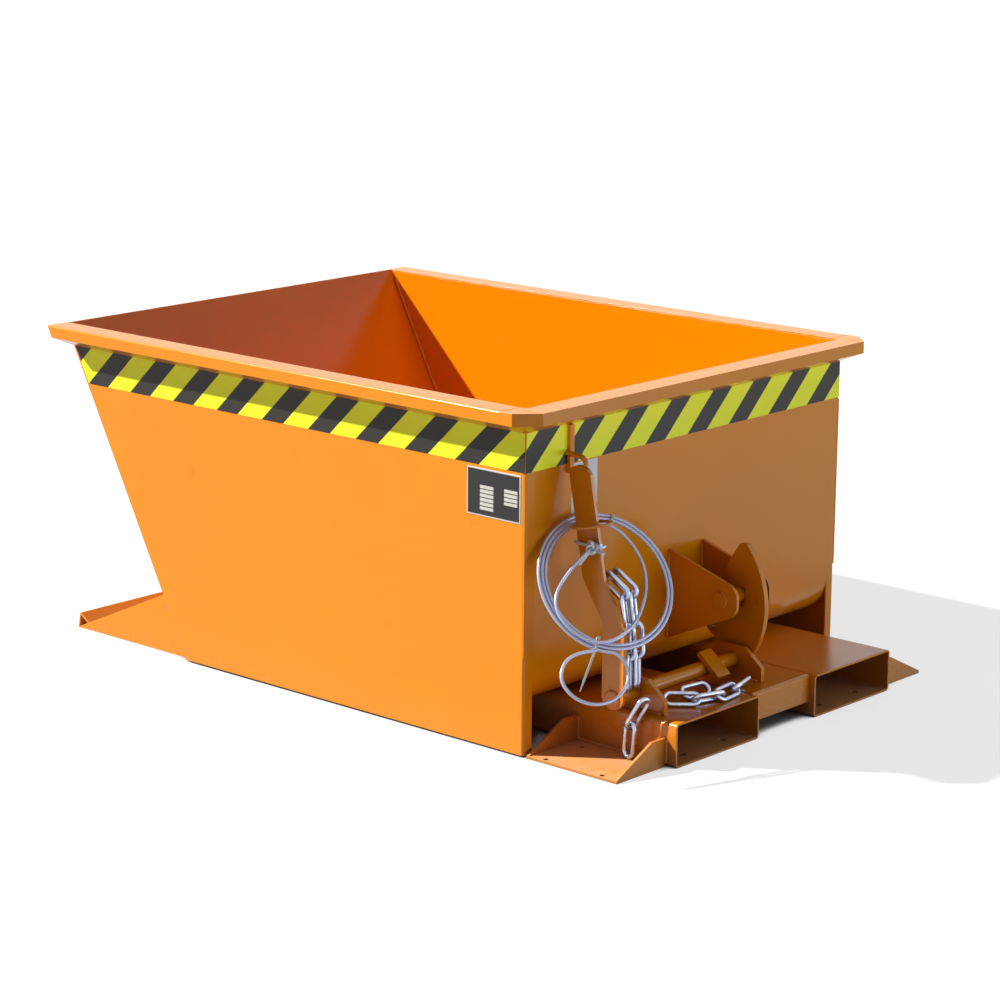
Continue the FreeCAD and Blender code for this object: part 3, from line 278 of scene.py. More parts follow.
# The latch ears and the shaft's bearings: thick plates stood on edge, the ears on the rear wall and the
# bearings on the near pocket and the channel, each held by a fillet down both its faces.
fillet_size = 0.0035
fillet_lap = 0.001
ear_wall_lap = 0.0015
ear_end_gap = 0.006
bearing_end_gap = 0.004
near_ear_low, near_ear_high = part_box("latch_ear_near")
for side_name, side in sides:
    ear_low, ear_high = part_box(f"latch_ear_{side_name}")
    foot = near_ear_low.z + ear_end_gap
    top = near_ear_high.z - ear_end_gap
    wall = near_ear_low.x + ear_wall_lap
    for face, y in (("a", ear_low.y - fillet_lap), ("b", ear_high.y + fillet_lap)):
        weld_bead(f"ear_weld_{side_name}_{face}", (wall, y, foot), (wall, y, top), fillet_size, "bin",
                  bin_enamel)
    bearing_low, bearing_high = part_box(f"shaft_bearing_{side_name}")
    bearing_foot = bearing_low.z + fillet_lap
    for face, y in (("a", bearing_low.y - fillet_lap), ("b", bearing_high.y + fillet_lap)):
        weld_bead(f"bearing_weld_{side_name}_{face}", (bearing_low.x + bearing_end_gap, y, bearing_foot),
                  (bearing_high.x - bearing_end_gap, y, bearing_foot), fillet_size, "base", base_enamel)

# The latch pin and the bin's outer corners: the pin is a round bar through both ears with a weld round its
# near end, and a thin seam runs up each corner where a side sheet meets the rear wall.
pin_lap = 0.0005
corner_size = 0.0022
corner_lap = 0.0015
corner_ends = (0.20, 0.556)
pin_low, pin_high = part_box("latch_pin")
pin_centre = (pin_low + pin_high) / 2
pin_radius = (pin_high.z - pin_low.z) / 2
rear_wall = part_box("tub_sheet")[1].x
far_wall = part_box("side_sheet_far")[1].y
weld_ring("pin_weld_near", (pin_centre.x, near_ear_low.y - pin_lap, pin_centre.z), pin_radius, fillet_size,
          "bin", bin_enamel)
for side_name, side in sides:
    corner_x = rear_wall - corner_lap
    corner_y = side * (far_wall - corner_lap)
    weld_bead(f"corner_seam_{side_name}", (corner_x, corner_y, corner_ends[0]),
              (corner_x, corner_y, corner_ends[1]), corner_size, "bin", bin_enamel)

# The rim's joints: the corner pieces of the folded strip are butted to its straight runs, welded across the
# top and ground nearly flush.
joint_size = 0.0030
joint_sink = 0.0022
joint_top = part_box("rim_near")[1].z - joint_sink
joint_reach = (0.002, 0.049)
joint_before_wall = 0.020
joint_past_side = 0.010
for side_name, side in sides:
    butt_x = rear_wall - joint_before_wall
    butt_y = side * (far_wall + joint_past_side)
    weld_bead(f"rim_joint_side_{side_name}", (butt_x, side * (far_wall + joint_reach[0]), joint_top),
              (butt_x, side * (far_wall + joint_reach[1]), joint_top), joint_size, "bin", bin_enamel)
    weld_bead(f"rim_joint_rear_{side_name}", (rear_wall + joint_reach[0], butt_y, joint_top),
              (rear_wall + joint_reach[1], butt_y, joint_top), joint_size, "bin", bin_enamel)

# The castor plates: folded trays of 6 mm steel at the rear corners, welded to the pockets' outer sides along
# their floors and up the corners of their two end walls.
castor_sheet = 0.006
castor_bead = 0.0042
castor_floor = 0.007
castor_end_gap = 0.01
castor_wall_gaps = (0.010, 0.002)
for side_name, side in sides:
    plate_low, plate_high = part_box(f"castor_plate_rear_{side_name}")
    inner_edge = (plate_high.y if side < 0 else plate_low.y) + side * fillet_lap
    weld_bead(f"castor_weld_{side_name}", (plate_low.x + castor_end_gap, inner_edge, castor_floor),
              (plate_high.x - castor_end_gap, inner_edge, castor_floor), fillet_size, "base", base_enamel)
    for wall_name, wall_x in (("front", plate_low.x + castor_sheet + fillet_lap),
                              ("rear", plate_high.x + fillet_lap)):
        weld_bead(f"castor_corner_{wall_name}_{side_name}", (wall_x, inner_edge, castor_wall_gaps[0]),
                  (wall_x, inner_edge, plate_high.z - castor_wall_gaps[1]), castor_bead, "base", base_enamel)

# The hazard tape: a fluorescent and reflective film 75 mm wide, lime with slanted charcoal bars, printed and
# stuck on under the rim along the rear wall and both sides.
tape_low = 0.5585
tape_high = 0.635
tape_thick = 0.0004
bar_period = 0.1327
bar_share = 0.465
bar_slant = 1.05
near_bar_start = -0.7072
rear_bar_start = -0.147
near_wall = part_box("side_sheet_near")[0].y
front_lean = 0.5383
front_at_ground = -0.4083
tape_inset = 0.002
tape_cuts = 12


def hazard_film():
    """Reflective film: fine glass-bead grain under a clear face, lime-yellow with charcoal bars."""
    lime_painted_glow = 0.10    # painted glow: the lime glows a little by itself, which lifts it most where it is in shade
    grain_size = 0.003
    soiling_size = 0.12
    material, shader = new_material("reflective_film")
    along = add_node(material, "ShaderNodeSeparateXYZ", None,
                     {"Vector": add_node(material, "ShaderNodeUVMap", {"uv_map": "UVMap"}).outputs["UV"]})
    slanted = add_node(material, "ShaderNodeMath", {"operation": "MULTIPLY_ADD"},
                       {0: along.outputs["Y"], 1: -bar_slant, 2: along.outputs["X"]})
    turns = add_node(material, "ShaderNodeMath", {"operation": "DIVIDE"},
                     {0: slanted.outputs["Value"], 1: bar_period})
    phase = add_node(material, "ShaderNodeMath", {"operation": "FLOORED_MODULO"},
                     {0: turns.outputs["Value"], 1: 1.0})
    bars = add_node(material, "ShaderNodeMath", {"operation": "LESS_THAN"},
                    {0: phase.outputs["Value"], 1: bar_share})
    place = add_node(material, "ShaderNodeTexCoord").outputs["Object"]
    grain = add_node(material, "ShaderNodeTexNoise", None,
                     {"Vector": place, "Scale": 1 / grain_size, "Detail": 2.0})
    soiling = add_node(material, "ShaderNodeTexNoise", None,
                       {"Vector": place, "Scale": 1 / soiling_size, "Detail": 4.0})
    lime = add_node(material, "ShaderNodeMix", {"data_type": "RGBA"},
                    {0: soiling.outputs["Fac"], 6: colour("#F2FA3C"), 7: colour("#E6EE2C")})
    charcoal = add_node(material, "ShaderNodeMix", {"data_type": "RGBA"},
                        {0: soiling.outputs["Fac"], 6: colour("#3A3835"), 7: colour("#302E2B")})
    film = add_node(material, "ShaderNodeMix", {"data_type": "RGBA"},
                    {0: bars.outputs["Value"], 6: lime.outputs[2], 7: charcoal.outputs[2]})
    feed(material, shader, "Base Color", film.outputs[2])
    # The lime parts glow faintly yellow-green, a painted light that is no lamp; the charcoal bars do not
    # glow.
    painted_glow = add_node(material, "ShaderNodeMath", {"operation": "MULTIPLY_ADD"},
                          {0: bars.outputs["Value"], 1: -lime_painted_glow, 2: lime_painted_glow})
    feed(material, shader, "Emission Strength", painted_glow.outputs["Value"])
    shader.inputs["Emission Color"].default_value = colour("#FFFA20")
    bump = add_node(material, "ShaderNodeBump", None,
                    {"Height": grain.outputs["Fac"], "Strength": 0.08, "Distance": 0.0003})
    feed(material, shader, "Normal", bump.outputs["Normal"])
    shader.inputs["Roughness"].default_value = 0.34
    shader.inputs["IOR"].default_value = 1.5
    shader.inputs["Specular IOR Level"].default_value = 0.2
    return material


film_finish = hazard_film()


def tape_strip(name, low_left, low_right, high_right, high_left, along, start):
    """A strip of film on a wall: a plane with its four corners set, and its length and height as UV."""
    start_piece()
    bpy.ops.mesh.primitive_plane_add(size=1)
    strip = bpy.context.object
    strip.name = name
    for vertex, corner in zip(strip.data.vertices, (low_left, low_right, high_left, high_right)):
        vertex.co = corner
    bpy.ops.object.mode_set(mode="EDIT")
    bpy.ops.mesh.select_all(action="SELECT")
    bpy.ops.mesh.subdivide(number_cuts=tape_cuts)
    bpy.ops.object.mode_set(mode="OBJECT")
    uv = strip.data.uv_layers["UVMap"].data
    for loop in strip.data.loops:
        point = strip.data.vertices[loop.vertex_index].co
        uv[loop.index].uv = (along(point) - start, point.z - tape_low)
    thicken = strip.modifiers.new("film", "SOLIDIFY")
    thicken.thickness = tape_thick
    thicken.offset = 1
    bpy.ops.object.modifier_apply(modifier="film")
    strip.data.materials.append(film_finish)
    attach(strip, "bin")


def front_edge(height):
    """Where the side sheet's slanted front edge is at a height."""
    return front_at_ground - front_lean * height


front_low = front_edge(tape_low) + tape_inset
front_high = front_edge(tape_high) + tape_inset
rear_end = rear_wall - tape_inset
near_end = near_wall + tape_inset
far_end = far_wall - tape_inset
tape_strip("tape_near", (front_low, near_wall, tape_low), (rear_end, near_wall, tape_low),
           (rear_end, near_wall, tape_high), (front_high, near_wall, tape_high),
           lambda point: point.x, near_bar_start)
tape_strip("tape_rear", (rear_wall, near_end, tape_low), (rear_wall, far_end, tape_low),
           (rear_wall, far_end, tape_high), (rear_wall, near_end, tape_high),
           lambda point: point.y, rear_bar_start)
tape_strip("tape_far", (rear_end, far_wall, tape_low), (front_low, far_wall, tape_low),
           (front_high, far_wall, tape_high), (rear_end, far_wall, tape_high),
           lambda point: -point.x, near_bar_start)

# The data plate: a thin sheet of anodised aluminium glued to the near side, its face printed black with bare
# metal boxes in two columns.
plate_left = 0.3860
plate_right = 0.5225
plate_low = 0.4590
plate_high = 0.5525
plate_border = 0.003
plate_thick = 0.0010
print_thick = 0.0002
panel_ease = 0.4    # of the panel's thickness
box_share = 0.76    # of the pitch between two boxes


def grained_finish(name, light, dark, grain, metal, rough_low, rough_high):
    """A thin sheet's face: a fine mottle in colour and gloss."""
    material, shader = new_material(name)
    place = add_node(material, "ShaderNodeTexCoord").outputs["Object"]
    mottle = add_node(material, "ShaderNodeTexNoise", None,
                      {"Vector": place, "Scale": 1 / grain, "Detail": 4.0})
    tint = add_node(material, "ShaderNodeMix", {"data_type": "RGBA"},
                    {0: mottle.outputs["Fac"], 6: colour(light), 7: colour(dark)})
    feed(material, shader, "Base Color", tint.outputs[2])
    gloss = add_node(material, "ShaderNodeMapRange", None,
                     {"Value": mottle.outputs["Fac"], "To Min": rough_low, "To Max": rough_high})
    feed(material, shader, "Roughness", gloss.outputs["Result"])
    shader.inputs["Metallic"].default_value = metal
    return material


# The metal is pale and satin; the ink on it is black and a little glossier.
plate_metal = grained_finish("anodised_aluminium", "#D9D6D0", "#BDB9B2", grain=0.004, metal=0.6,
                             rough_low=0.3, rough_high=0.5)
plate_print = grained_finish("black_print", "#151313", "#0B0A0A", grain=0.006, metal=0.0,
                             rough_low=0.3, rough_high=0.42)


def side_panel(name, left, right, low, high, behind, thick, finish):
    """A flat panel on the near side, its edges eased, lying on a face at a depth."""
    start_piece()
    bpy.ops.mesh.primitive_plane_add(size=1)
    panel = bpy.context.object
    panel.name = name
    corners = ((left, low), (right, low), (left, high), (right, high))
    for vertex, (x, z) in zip(panel.data.vertices, corners):
        vertex.co = (x, behind, z)
    thicken = panel.modifiers.new("sheet", "SOLIDIFY")
    thicken.thickness = thick
    thicken.offset = 1
    bpy.ops.object.modifier_apply(modifier="sheet")
    ease = panel.modifiers.new("edge", "BEVEL")
    ease.width = thick * panel_ease
    ease.segments = 2
    bpy.ops.object.modifier_apply(modifier="edge")
    panel.data.materials.append(finish)
    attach(panel, "bin")
    return panel


def boxes_down(name, left_share, right_share, top_share, pitch_share, count):
    """A column of bare boxes on the plate, one made and the rest set below it."""
    wide = plate_right - plate_left
    tall = plate_high - plate_low
    top = plate_high - top_share * tall
    box = side_panel(name, plate_left + left_share * wide, plate_left + right_share * wide,
                     top - box_share * pitch_share * tall, top, near_wall - plate_thick - print_thick,
                     print_thick, plate_metal)
    column = box.modifiers.new("column", "ARRAY")
    column.use_relative_offset = False
    column.use_constant_offset = True
    column.constant_offset_displace = (0, 0, -pitch_share * tall)
    column.count = count
    bpy.ops.object.modifier_apply(modifier="column")


side_panel("plate_sheet", plate_left, plate_right, plate_low, plate_high, near_wall, plate_thick,
           plate_metal)
side_panel("plate_field", plate_left + plate_border, plate_right - plate_border, plate_low + plate_border,
           plate_high - plate_border, near_wall - plate_thick, print_thick, plate_print)
boxes_down("plate_boxes_left", left_share=0.25, right_share=0.50, top_share=0.35, pitch_share=0.089,
           count=6)
boxes_down("plate_boxes_right", left_share=0.70, right_share=0.945, top_share=0.34, pitch_share=0.0875,
           count=4)

# The blank sticker: an oblong of white vinyl film, stuck on the rear wall behind the lever. Its face is
# plain, with a soft gloss.
sticker_near = -0.367
sticker_far = -0.291
sticker_low = 0.458
sticker_high = 0.556
sticker_corners = ((sticker_near, sticker_low), (sticker_far, sticker_low),
                   (sticker_near, sticker_high), (sticker_far, sticker_high))
sticker_vinyl = grained_finish("white_vinyl", "#F2F2F4", "#E2E3E8", grain=0.03, metal=0.0,
                               rough_low=0.3, rough_high=0.45)
start_piece()
bpy.ops.mesh.primitive_plane_add(size=1)
sticker = bpy.context.object
sticker.name = "blank_sticker"
for vertex, (y, z) in zip(sticker.data.vertices, sticker_corners):
    vertex.co = (rear_wall, y, z)
vinyl = sticker.modifiers.new("vinyl", "SOLIDIFY")
vinyl.thickness = tape_thick
vinyl.offset = 1
bpy.ops.object.modifier_apply(modifier="vinyl")
sticker.data.materials.append(sticker_vinyl)
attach(sticker, "bin")

# The rope: a steel wire rope in a clear plastic sheath, tied round the lever, wound into a coil held by two
# cable ties, with its far end turned into a loop below the coil.
rope_diameter = 0.007
rope_length = 3.03
hitch_length = 0.16
shaft_across = 0.6635
lever_middle = -0.388
coil_middle = Vector((shaft_across - 0.032, lever_middle + 0.012, 0.343))
coil_right = Vector((0.342, 0.94, 0))
coil_right.normalize()
coil_up = Vector((-0.54, 0.1965, 0.8185))
coil_up = (coil_up - coil_right * coil_up.dot(coil_right)).normalized()
coil_out = coil_right.cross(coil_up)
coil_radius = 0.124
coil_spacing = 0.0076
points_per_turn = 18


def on_coil(right, up, out=0):
    """A point in the plane of the coil, in millimetres from its middle."""
    return coil_middle + (coil_right * right + coil_up * up + coil_out * out) / 1000


knot_exit = Vector((shaft_across - 0.044, lever_middle - 0.0122, 0.414))
lead_points = [
    knot_exit,
    knot_exit + Vector((-0.002, -0.0158, -0.005)),
    on_coil(-88, 20, 11),
    on_coil(-124, -18, 11),
    on_coil(-128, -56, 11),
    on_coil(-104, -98, 11),
    on_coil(-62, -123, 12),
    on_coil(-16, -119, 14),
    on_coil(32, -90, 12),
    on_coil(70, -42, 7),
    on_coil(88, 8, 3),
    on_coil(84, 52, 2),
    on_coil(64, 92, 3),
    on_coil(38, 114, 3),
]
turn_points = []
wound = 2 * 360 + 160    # degrees
step_angle = 360 / points_per_turn
corner_reach = 1 / math.cos(math.radians(step_angle / 2))
for step in range(int(wound / step_angle) + 1):
    turned = step * step_angle
    angle = math.radians(90 + turned)
    radius = (coil_radius + coil_spacing * turned / 360) * corner_reach
    turn_points.append(on_coil(1000 * radius * math.cos(angle), 1000 * radius * math.sin(angle)))
loop_points = [
    on_coil(-25, -139),
    on_coil(-8, -166, 1),
    on_coil(-18, -204, 2),
    on_coil(-52, -232, 3),
    on_coil(-102, -238, 4),
    on_coil(-144, -216, 5),
    on_coil(-160, -178, 6),
    on_coil(-140, -144, 8),
    on_coil(-104, -132, 9.5),
    on_coil(-70, -134, 10),
]


def wire_rope_sheath(name, rope_run, groove_shade, crown_highlight):
    """Clear vinyl over twisted strands: a fine slanted lay and a clear gloss, with a painted highlight on
    the strands' crowns, painted shade in the grooves and a blue painted sky reflection.
    """
    lay_length = 0.045
    strands = 6
    material, shader = new_material(name)
    around = add_node(material, "ShaderNodeSeparateXYZ", None,
                      {"Vector": add_node(material, "ShaderNodeUVMap", {"uv_map": "UVMap"}).outputs["UV"]})
    twist = add_node(material, "ShaderNodeMath", {"operation": "MULTIPLY_ADD"},
                     {0: around.outputs["X"], 1: rope_run / lay_length, 2: around.outputs["Y"]})
    strand = add_node(material, "ShaderNodeMath", {"operation": "PINGPONG"},
                      {0: twist.outputs["Value"], 1: 0.5 / strands})
    ridge = add_node(material, "ShaderNodeMapRange", None,
                     {"Value": strand.outputs["Value"], "From Min": 0.0, "From Max": 0.5 / strands})
    # The strands' crowns are painted lighter and their grooves darker, painted highlight and shade, both
    # tinted blue as a painted reflection of a blue sky.
    silver = add_node(material, "ShaderNodeMix", {"data_type": "RGBA"},
                      {0: ridge.outputs["Result"], 6: colour(groove_shade), 7: colour(crown_highlight)})
    feed(material, shader, "Base Color", silver.outputs[2])
    bump = add_node(material, "ShaderNodeBump", None,
                    {"Height": ridge.outputs["Result"], "Strength": 0.25, "Distance": 0.0006})
    feed(material, shader, "Normal", bump.outputs["Normal"])
    shader.inputs["Metallic"].default_value = 0.35
    shader.inputs["Roughness"].default_value = 0.3
    shader.inputs["IOR"].default_value = 1.53
    shader.inputs["Coat Weight"].default_value = 0.8
    shader.inputs["Coat Roughness"].default_value = 0.08
    return material


sheath_finish = wire_rope_sheath("sheathed_wire_rope", rope_length, "#7A82B2", "#DADFF2")
# The knot and its turn take a paler copy of the rope's finish: painted light, as the knot stands in the
# light.
lit_rope_finish = wire_rope_sheath("sheathed_wire_rope_knot_lit", hitch_length, "#A5ABC6", "#EEF0F8")


def rope_curve(name, points, finish):
    """A round rope along one open spline with the route's points as its control points."""
    data = bpy.data.curves.new(name, "CURVE")
    data.dimensions = "3D"
    data.resolution_u = 8
    data.bevel_depth = rope_diameter / 2
    data.bevel_resolution = 3
    data.use_fill_caps = True
    spline = data.splines.new("NURBS")
    spline.points.add(len(points) - 1)
    for control, point in zip(spline.points, points):
        control.co = (*point, 1)
    spline.order_u = 3
    spline.use_endpoint_u = True
    rope = bpy.data.objects.new(name, data)
    bpy.context.scene.collection.objects.link(rope)
    data.materials.append(finish)
    return rope


rope = rope_curve("wire_rope", lead_points + turn_points + loop_points, sheath_finish)
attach(rope, "latch")
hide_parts("rope_lead", "rope_coil", "rope_loop")

# The hitch: the same rope's first turn round the lever, drawn into a knot on the near side, with
# three short cut ends that stand out of the knot.
lever_across = 0.5999
hitch_half = 0.0322
hitch_deep = 0.0081
hitch_height = 0.414
hitch_route = ((0.5, -1.0), (0.95, -1.05), (1.05, -0.3), (1.0, 1.0), (0.0, 1.05), (-1.0, 1.0), (-1.05, -0.3),
               (-0.95, -1.05), (-0.2, -1.0), (0.4, -1.15))
knot_middle = knot_exit + Vector((-0.001, -0.004, -0.001))
knot_size = 0.0046
knot_depth = knot_size * 0.8
knot_steps = 20
cut_ends = {
    "hitch_end_low": ((0.008, 0, -0.002), (0.017, -0.003, -0.004), (0.025, -0.005, -0.004),
                      (0.033, -0.006, -0.006)),
    "hitch_end_high": ((0.006, 0, 0.005), (0.013, -0.004, 0.008), (0.021, -0.007, 0.009),
                       (0.029, -0.008, 0.012)),
    "hitch_end_hanging": ((-0.004, -0.002, -0.006), (-0.008, -0.006, -0.014), (-0.013, -0.010, -0.023),
                          (-0.019, -0.013, -0.033)),
}
hitch_points = []
for across, deep in hitch_route:
    hitch_points.append(Vector((lever_across + across * hitch_half, lever_middle + deep * hitch_deep,
                                hitch_height)))
hitch = rope_curve("hitch_turn", hitch_points, lit_rope_finish)
knot_points = []
for step in range(knot_steps + 1):
    angle = 2 * math.pi * step / knot_steps
    reach = knot_size * (2 + math.cos(3 * angle))
    knot_points.append(knot_middle + Vector((reach * math.cos(2 * angle), knot_depth * math.sin(3 * angle),
                                             reach * math.sin(2 * angle))))
hitch_pieces = [hitch, rope_curve("hitch_knot", knot_points, lit_rope_finish)]
for end_name, offsets in cut_ends.items():
    end_points = [knot_middle + Vector(offset) for offset in offsets]
    hitch_pieces.append(rope_curve(end_name, end_points, lit_rope_finish))
for piece in hitch_pieces:
    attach(piece, "latch")
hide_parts("rope_hitch")

# The cable ties: moulded straps of white nylon, pulled tight round the coil's turns through a ratchet head.
# The lower one's tail is left long. Nylon has a faintly mottled, satin face.
strap_wide = 0.0050
strap_thick = 0.0012
strap_room = 0.0004
head_long = 0.007
head_deep = 0.0058
head_wide = strap_wide * 1.1
head_ease = 0.0008
head_rise = 0.0040
tail_wide = strap_wide * 0.9
tail_cuts = 7
tail_droop = 0.017
tip_from = 0.85     # of the tail's length
tip_share = 0.55    # of the tail's width
tail_length = 0.096
tie_slack = 0.0004
top_tie_in = 0.0069
top_head_in = 0.005
smooth_under = math.radians(35)
strap_nylon = grained_finish("nylon_strap", "#F1F1EC", "#DEDED6", grain=0.01, metal=0.0,
                             rough_low=0.32, rough_high=0.5)


def join_parts(parts):
    """Joins parts into the first of them."""
    start_piece()
    for part in parts:
        part.select_set(True)
    bpy.context.view_layer.objects.active = parts[0]
    bpy.ops.object.join()
    return parts[0]


def tie_block(long, deep, wide):
    """A block at its size, for a tie's head or tail."""
    start_piece()
    bpy.ops.mesh.primitive_cube_add(size=1)
    block = bpy.context.object
    block.scale = (long, deep, wide)
    bpy.ops.object.transform_apply(location=False, rotation=False, scale=True)
    return block


def cable_tie(name, angle, inner, outer, head_at, tail):
    """A strap round the turns between two radii, made along X and stood across the coil."""
    half_deep = rope_diameter / 2 + strap_room
    half_run = (outer - inner) / 2
    start_piece()
    bpy.ops.mesh.primitive_cylinder_add(vertices=32, radius=half_deep, depth=strap_wide,
                                        end_fill_type="NOTHING")
    band = bpy.context.object
    band.name = name
    for vertex in band.data.vertices:
        vertex.co.x = vertex.co.x + math.copysign(half_run, vertex.co.x)
    thicken = band.modifiers.new("strap", "SOLIDIFY")
    thicken.thickness = strap_thick
    thicken.offset = 1
    bpy.ops.object.modifier_apply(modifier="strap")
    head = tie_block(head_long, head_deep, head_wide)
    ease = head.modifiers.new("edge", "BEVEL")
    ease.width = head_ease
    ease.segments = 2
    bpy.ops.object.modifier_apply(modifier="edge")
    head_along = head_at + head_long / 2 - half_run - half_deep
    head.data.transform(Matrix.Translation((head_along, half_deep + head_rise, 0)))
    parts = [band, head]
    if tail:
        strip = tie_block(tail, strap_thick, tail_wide)
        bpy.ops.object.mode_set(mode="EDIT")
        bpy.ops.mesh.select_all(action="SELECT")
        bpy.ops.mesh.subdivide(number_cuts=tail_cuts)
        bpy.ops.object.mode_set(mode="OBJECT")
        for vertex in strip.data.vertices:
            share = vertex.co.x / tail + 0.5
            vertex.co.z = vertex.co.z * (1 if share < tip_from else tip_share) - tail_droop * share
        tail_along = half_run + half_deep + tail / 2
        strip.data.transform(Matrix.Translation((tail_along, half_deep - strap_thick / 2, 0)))
        parts.append(strip)
    join_parts(parts)
    turn = math.radians(angle)
    radial = coil_right * math.cos(turn) + coil_up * math.sin(turn)
    along = coil_right * -math.sin(turn) + coil_up * math.cos(turn)
    stand = Matrix((radial, coil_out, along)).transposed().to_4x4()
    settle(band, Matrix.Translation(coil_middle + radial * (inner + outer) / 2) @ stand)
    return band


outer_turn = coil_radius + 2 * coil_spacing
top_tie = cable_tie("tie_top", angle=68, inner=coil_radius + top_tie_in, outer=outer_turn,
                    head_at=top_head_in, tail=0)
low_tie = cable_tie("tie_low", angle=243, inner=coil_radius - tie_slack, outer=outer_turn + tie_slack,
                    head_at=0, tail=tail_length)
ties = join_parts([top_tie, low_tie])
ties.name = "coil_ties"
ties.data.materials.append(strap_nylon)
bpy.ops.object.shade_smooth_by_angle(angle=smooth_under)
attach(ties, "latch")
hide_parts("cable_ties")

# The camera: it stands about 5.5 m off the rear near corner, just over head height, with a long lens, and
# looks down a little at the bin and its latch.
camera_data = bpy.data.cameras.new("camera")
camera_data.sensor_width = 36
camera_data.lens = 110.06
camera = bpy.data.objects.new("camera", camera_data)
camera_place = Vector((4.2069, -4.6867, 1.8430))
camera_heading = math.radians(41.75)
camera_dip = math.radians(13.48)
camera_roll = math.radians(0.45)
level_aim = Euler((math.pi / 2 - camera_dip, 0, camera_heading)).to_matrix()
aim = level_aim @ Matrix.Rotation(camera_roll, 3, "Z")
camera.matrix_world = Matrix.Translation(camera_place) @ aim.to_4x4()
bpy.context.scene.collection.objects.link(camera)
bpy.context.scene.camera = camera

# The latch: a round shaft with the hook, the stop bar and the flat lever welded to it, and a bent peg and a
# loose ring on the lever. It is all mild steel in the base's enamel, with a weld round the shaft on each
# side of the lever and of the hook.
latch_pieces = ["latch_shaft", "latch_hook", "stop_bar", "lever_bar", "lever_peg", "lever_ring", "chain_peg"]
shaft_height = 0.122
shaft_radius = 0.015
ring_size = 0.003
ring_lap = 0.0008
finish_with(latch_pieces, base_enamel)
for piece_name in ("lever_bar", "latch_hook"):
    low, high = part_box(piece_name)
    for face, y in (("near", low.y - ring_lap), ("far", high.y + ring_lap)):
        weld_ring(f"{piece_name}_fillet_{face}", (shaft_across, y, shaft_height), shaft_radius, ring_size,
                  "latch", base_enamel)

# The chains: welded links of round steel bar, dipped in zinc after welding. One run hangs on the lever's
# peg, and the other is welded to the base by its end link and lies on it.
chain_pieces = ["chain_laid", "chain_hung"]


def galvanised_zinc():
    """Hot-dip zinc on steel: bright, with a mottle of dull and shiny grains a few millimetres across, and
    tinted blue as a painted sky reflection.
    """
    grain_size = 0.005
    cloud_size = 0.02
    material, shader = new_material("galvanised_steel")
    place = add_node(material, "ShaderNodeTexCoord").outputs["Object"]
    grains = add_node(material, "ShaderNodeTexVoronoi", None, {"Vector": place, "Scale": 1 / grain_size})
    cloud = add_node(material, "ShaderNodeTexNoise", None,
                     {"Vector": place, "Scale": 1 / cloud_size, "Detail": 4.0})
    # Both zinc tones are tinted blue, a painted reflection of a blue sky; the mottle between them is the
    # zinc's own.
    zinc = add_node(material, "ShaderNodeMix", {"data_type": "RGBA"},
                    {0: cloud.outputs["Fac"], 6: colour("#E0E4EE"), 7: colour("#8C98C4")})
    feed(material, shader, "Base Color", zinc.outputs[2])
    dull = add_node(material, "ShaderNodeMapRange", None,
                    {"Value": grains.outputs["Color"], "To Min": 0.22, "To Max": 0.4})
    feed(material, shader, "Roughness", dull.outputs["Result"])
    shader.inputs["Metallic"].default_value = 1
    return material


finish_with(chain_pieces, galvanised_zinc())

# The floor: a broad, matt sheet of grey studio paper. It glows to the camera and in reflections, so that it
# looks white while still showing the lamp's shadow, and the glow fades close under the skip by how shut in
# the floor is there, which paints shade there.
floor_size = 60
floor_glow = 0.72
shadow_reach = 0.25
shadow_edge = (0.26, 0.46)
start_piece()
bpy.ops.mesh.primitive_plane_add(size=floor_size)
floor = bpy.context.object
floor.name = "floor"
floor_finish, floor_shader = new_material("white_floor")
floor_shader.inputs["Base Color"].default_value = colour("#8F8F8F")
floor_shader.inputs["Roughness"].default_value = 0.9
floor_shader.inputs["Emission Color"].default_value = (1, 1, 1, 1)
rays = add_node(floor_finish, "ShaderNodeLightPath")
mirrored = add_node(floor_finish, "ShaderNodeMath", {"operation": "MAXIMUM"},
                    {0: rays.outputs["Is Camera Ray"], 1: rays.outputs["Is Glossy Ray"]})
seen = add_node(floor_finish, "ShaderNodeMath", {"operation": "MAXIMUM"},
                {0: mirrored.outputs["Value"], 1: rays.outputs["Is Transmission Ray"]})
open_floor = add_node(floor_finish, "ShaderNodeAmbientOcclusion", {"samples": 8}, {"Distance": shadow_reach})
glow = add_node(floor_finish, "ShaderNodeMapRange", None,
                {"Value": open_floor.outputs["AO"], "From Min": shadow_edge[0], "From Max": shadow_edge[1],
                 "To Min": 0.0, "To Max": floor_glow})
lift = add_node(floor_finish, "ShaderNodeMath", {"operation": "MULTIPLY"},
                {0: seen.outputs["Value"], 1: glow.outputs["Result"]})
feed(floor_finish, floor_shader, "Emission Strength", lift.outputs["Value"])
floor.data.materials.append(floor_finish)

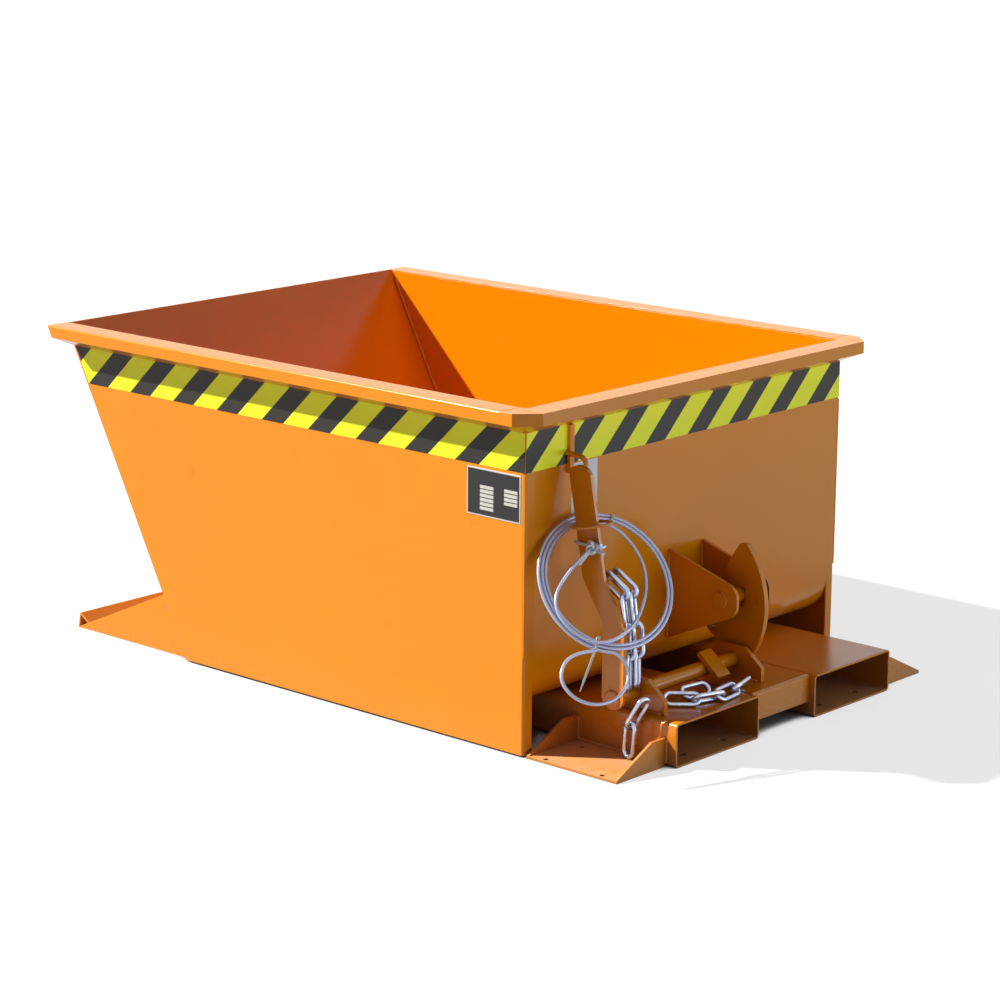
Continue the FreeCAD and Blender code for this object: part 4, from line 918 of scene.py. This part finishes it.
# The surround: a faint cool sky that fills the shadows. To the camera and in reflections it is plain white,
# as a studio's backdrop is.
sky_strength = 0.14
world = bpy.data.worlds.new("surround")
bpy.context.scene.world = world
world.use_nodes = True
world.node_tree.nodes.clear()
sight = add_node(world, "ShaderNodeLightPath")
direct = add_node(world, "ShaderNodeMath", {"operation": "MAXIMUM"},
                  {0: sight.outputs["Is Camera Ray"], 1: sight.outputs["Is Glossy Ray"]})
clear = add_node(world, "ShaderNodeMath", {"operation": "MAXIMUM"},
                 {0: direct.outputs["Value"], 1: sight.outputs["Is Transmission Ray"]})
soft_sky = add_node(world, "ShaderNodeBackground", None,
                    {"Color": colour("#DDE4F2"), "Strength": sky_strength})
white_back = add_node(world, "ShaderNodeBackground", None, {"Color": (1, 1, 1, 1), "Strength": 1.0})
either = add_node(world, "ShaderNodeMixShader", None,
                  {0: clear.outputs["Value"], 1: soft_sky.outputs[0], 2: white_back.outputs[0]})
add_node(world, "ShaderNodeOutputWorld", None, {"Surface": either.outputs[0]})

# The key lamp: a slightly warm sun, some 39 degrees up on the front near side. It is small enough to leave
# crisp shadows inside the bin and on the floor, and it leaves the rear wall in shade.
sun_way = Vector((0.63, 0.454, -0.63)).normalized()
key_data = bpy.data.lights.new("key", "SUN")
key_data.energy = 6.1
key_data.angle = math.radians(1.2)
key_data.color = (1, 0.97, 0.92)
key = bpy.data.objects.new("key", key_data)
key.matrix_world = sun_way.to_track_quat("-Z", "Y").to_matrix().to_4x4()
bpy.context.scene.collection.objects.link(key)

# The rear panel: a low, broad, cool lamp behind the skip. It lights the rear wall and the latch, but not the
# inside of the bin.
panel_place = Vector((3.4, 1.1, 0.45))
panel_aim = Vector((0.55, -0.05, 0.30))
panel_data = bpy.data.lights.new("rear_panel", "AREA")
panel_data.shape = "RECTANGLE"
panel_data.size = 2.6
panel_data.size_y = 0.7
panel_data.energy = 27
panel_data.color = (0.72, 0.86, 1)
panel = bpy.data.objects.new("rear_panel", panel_data)
panel_way = (panel_aim - panel_place).normalized()
panel_turn = panel_way.to_track_quat("-Z", "Y").to_matrix().to_4x4()
panel.matrix_world = Matrix.Translation(panel_place) @ panel_turn
bpy.context.scene.collection.objects.link(panel)

# The finished picture: colours are shown as they are written.
bpy.context.scene.view_settings.view_transform = "Standard"
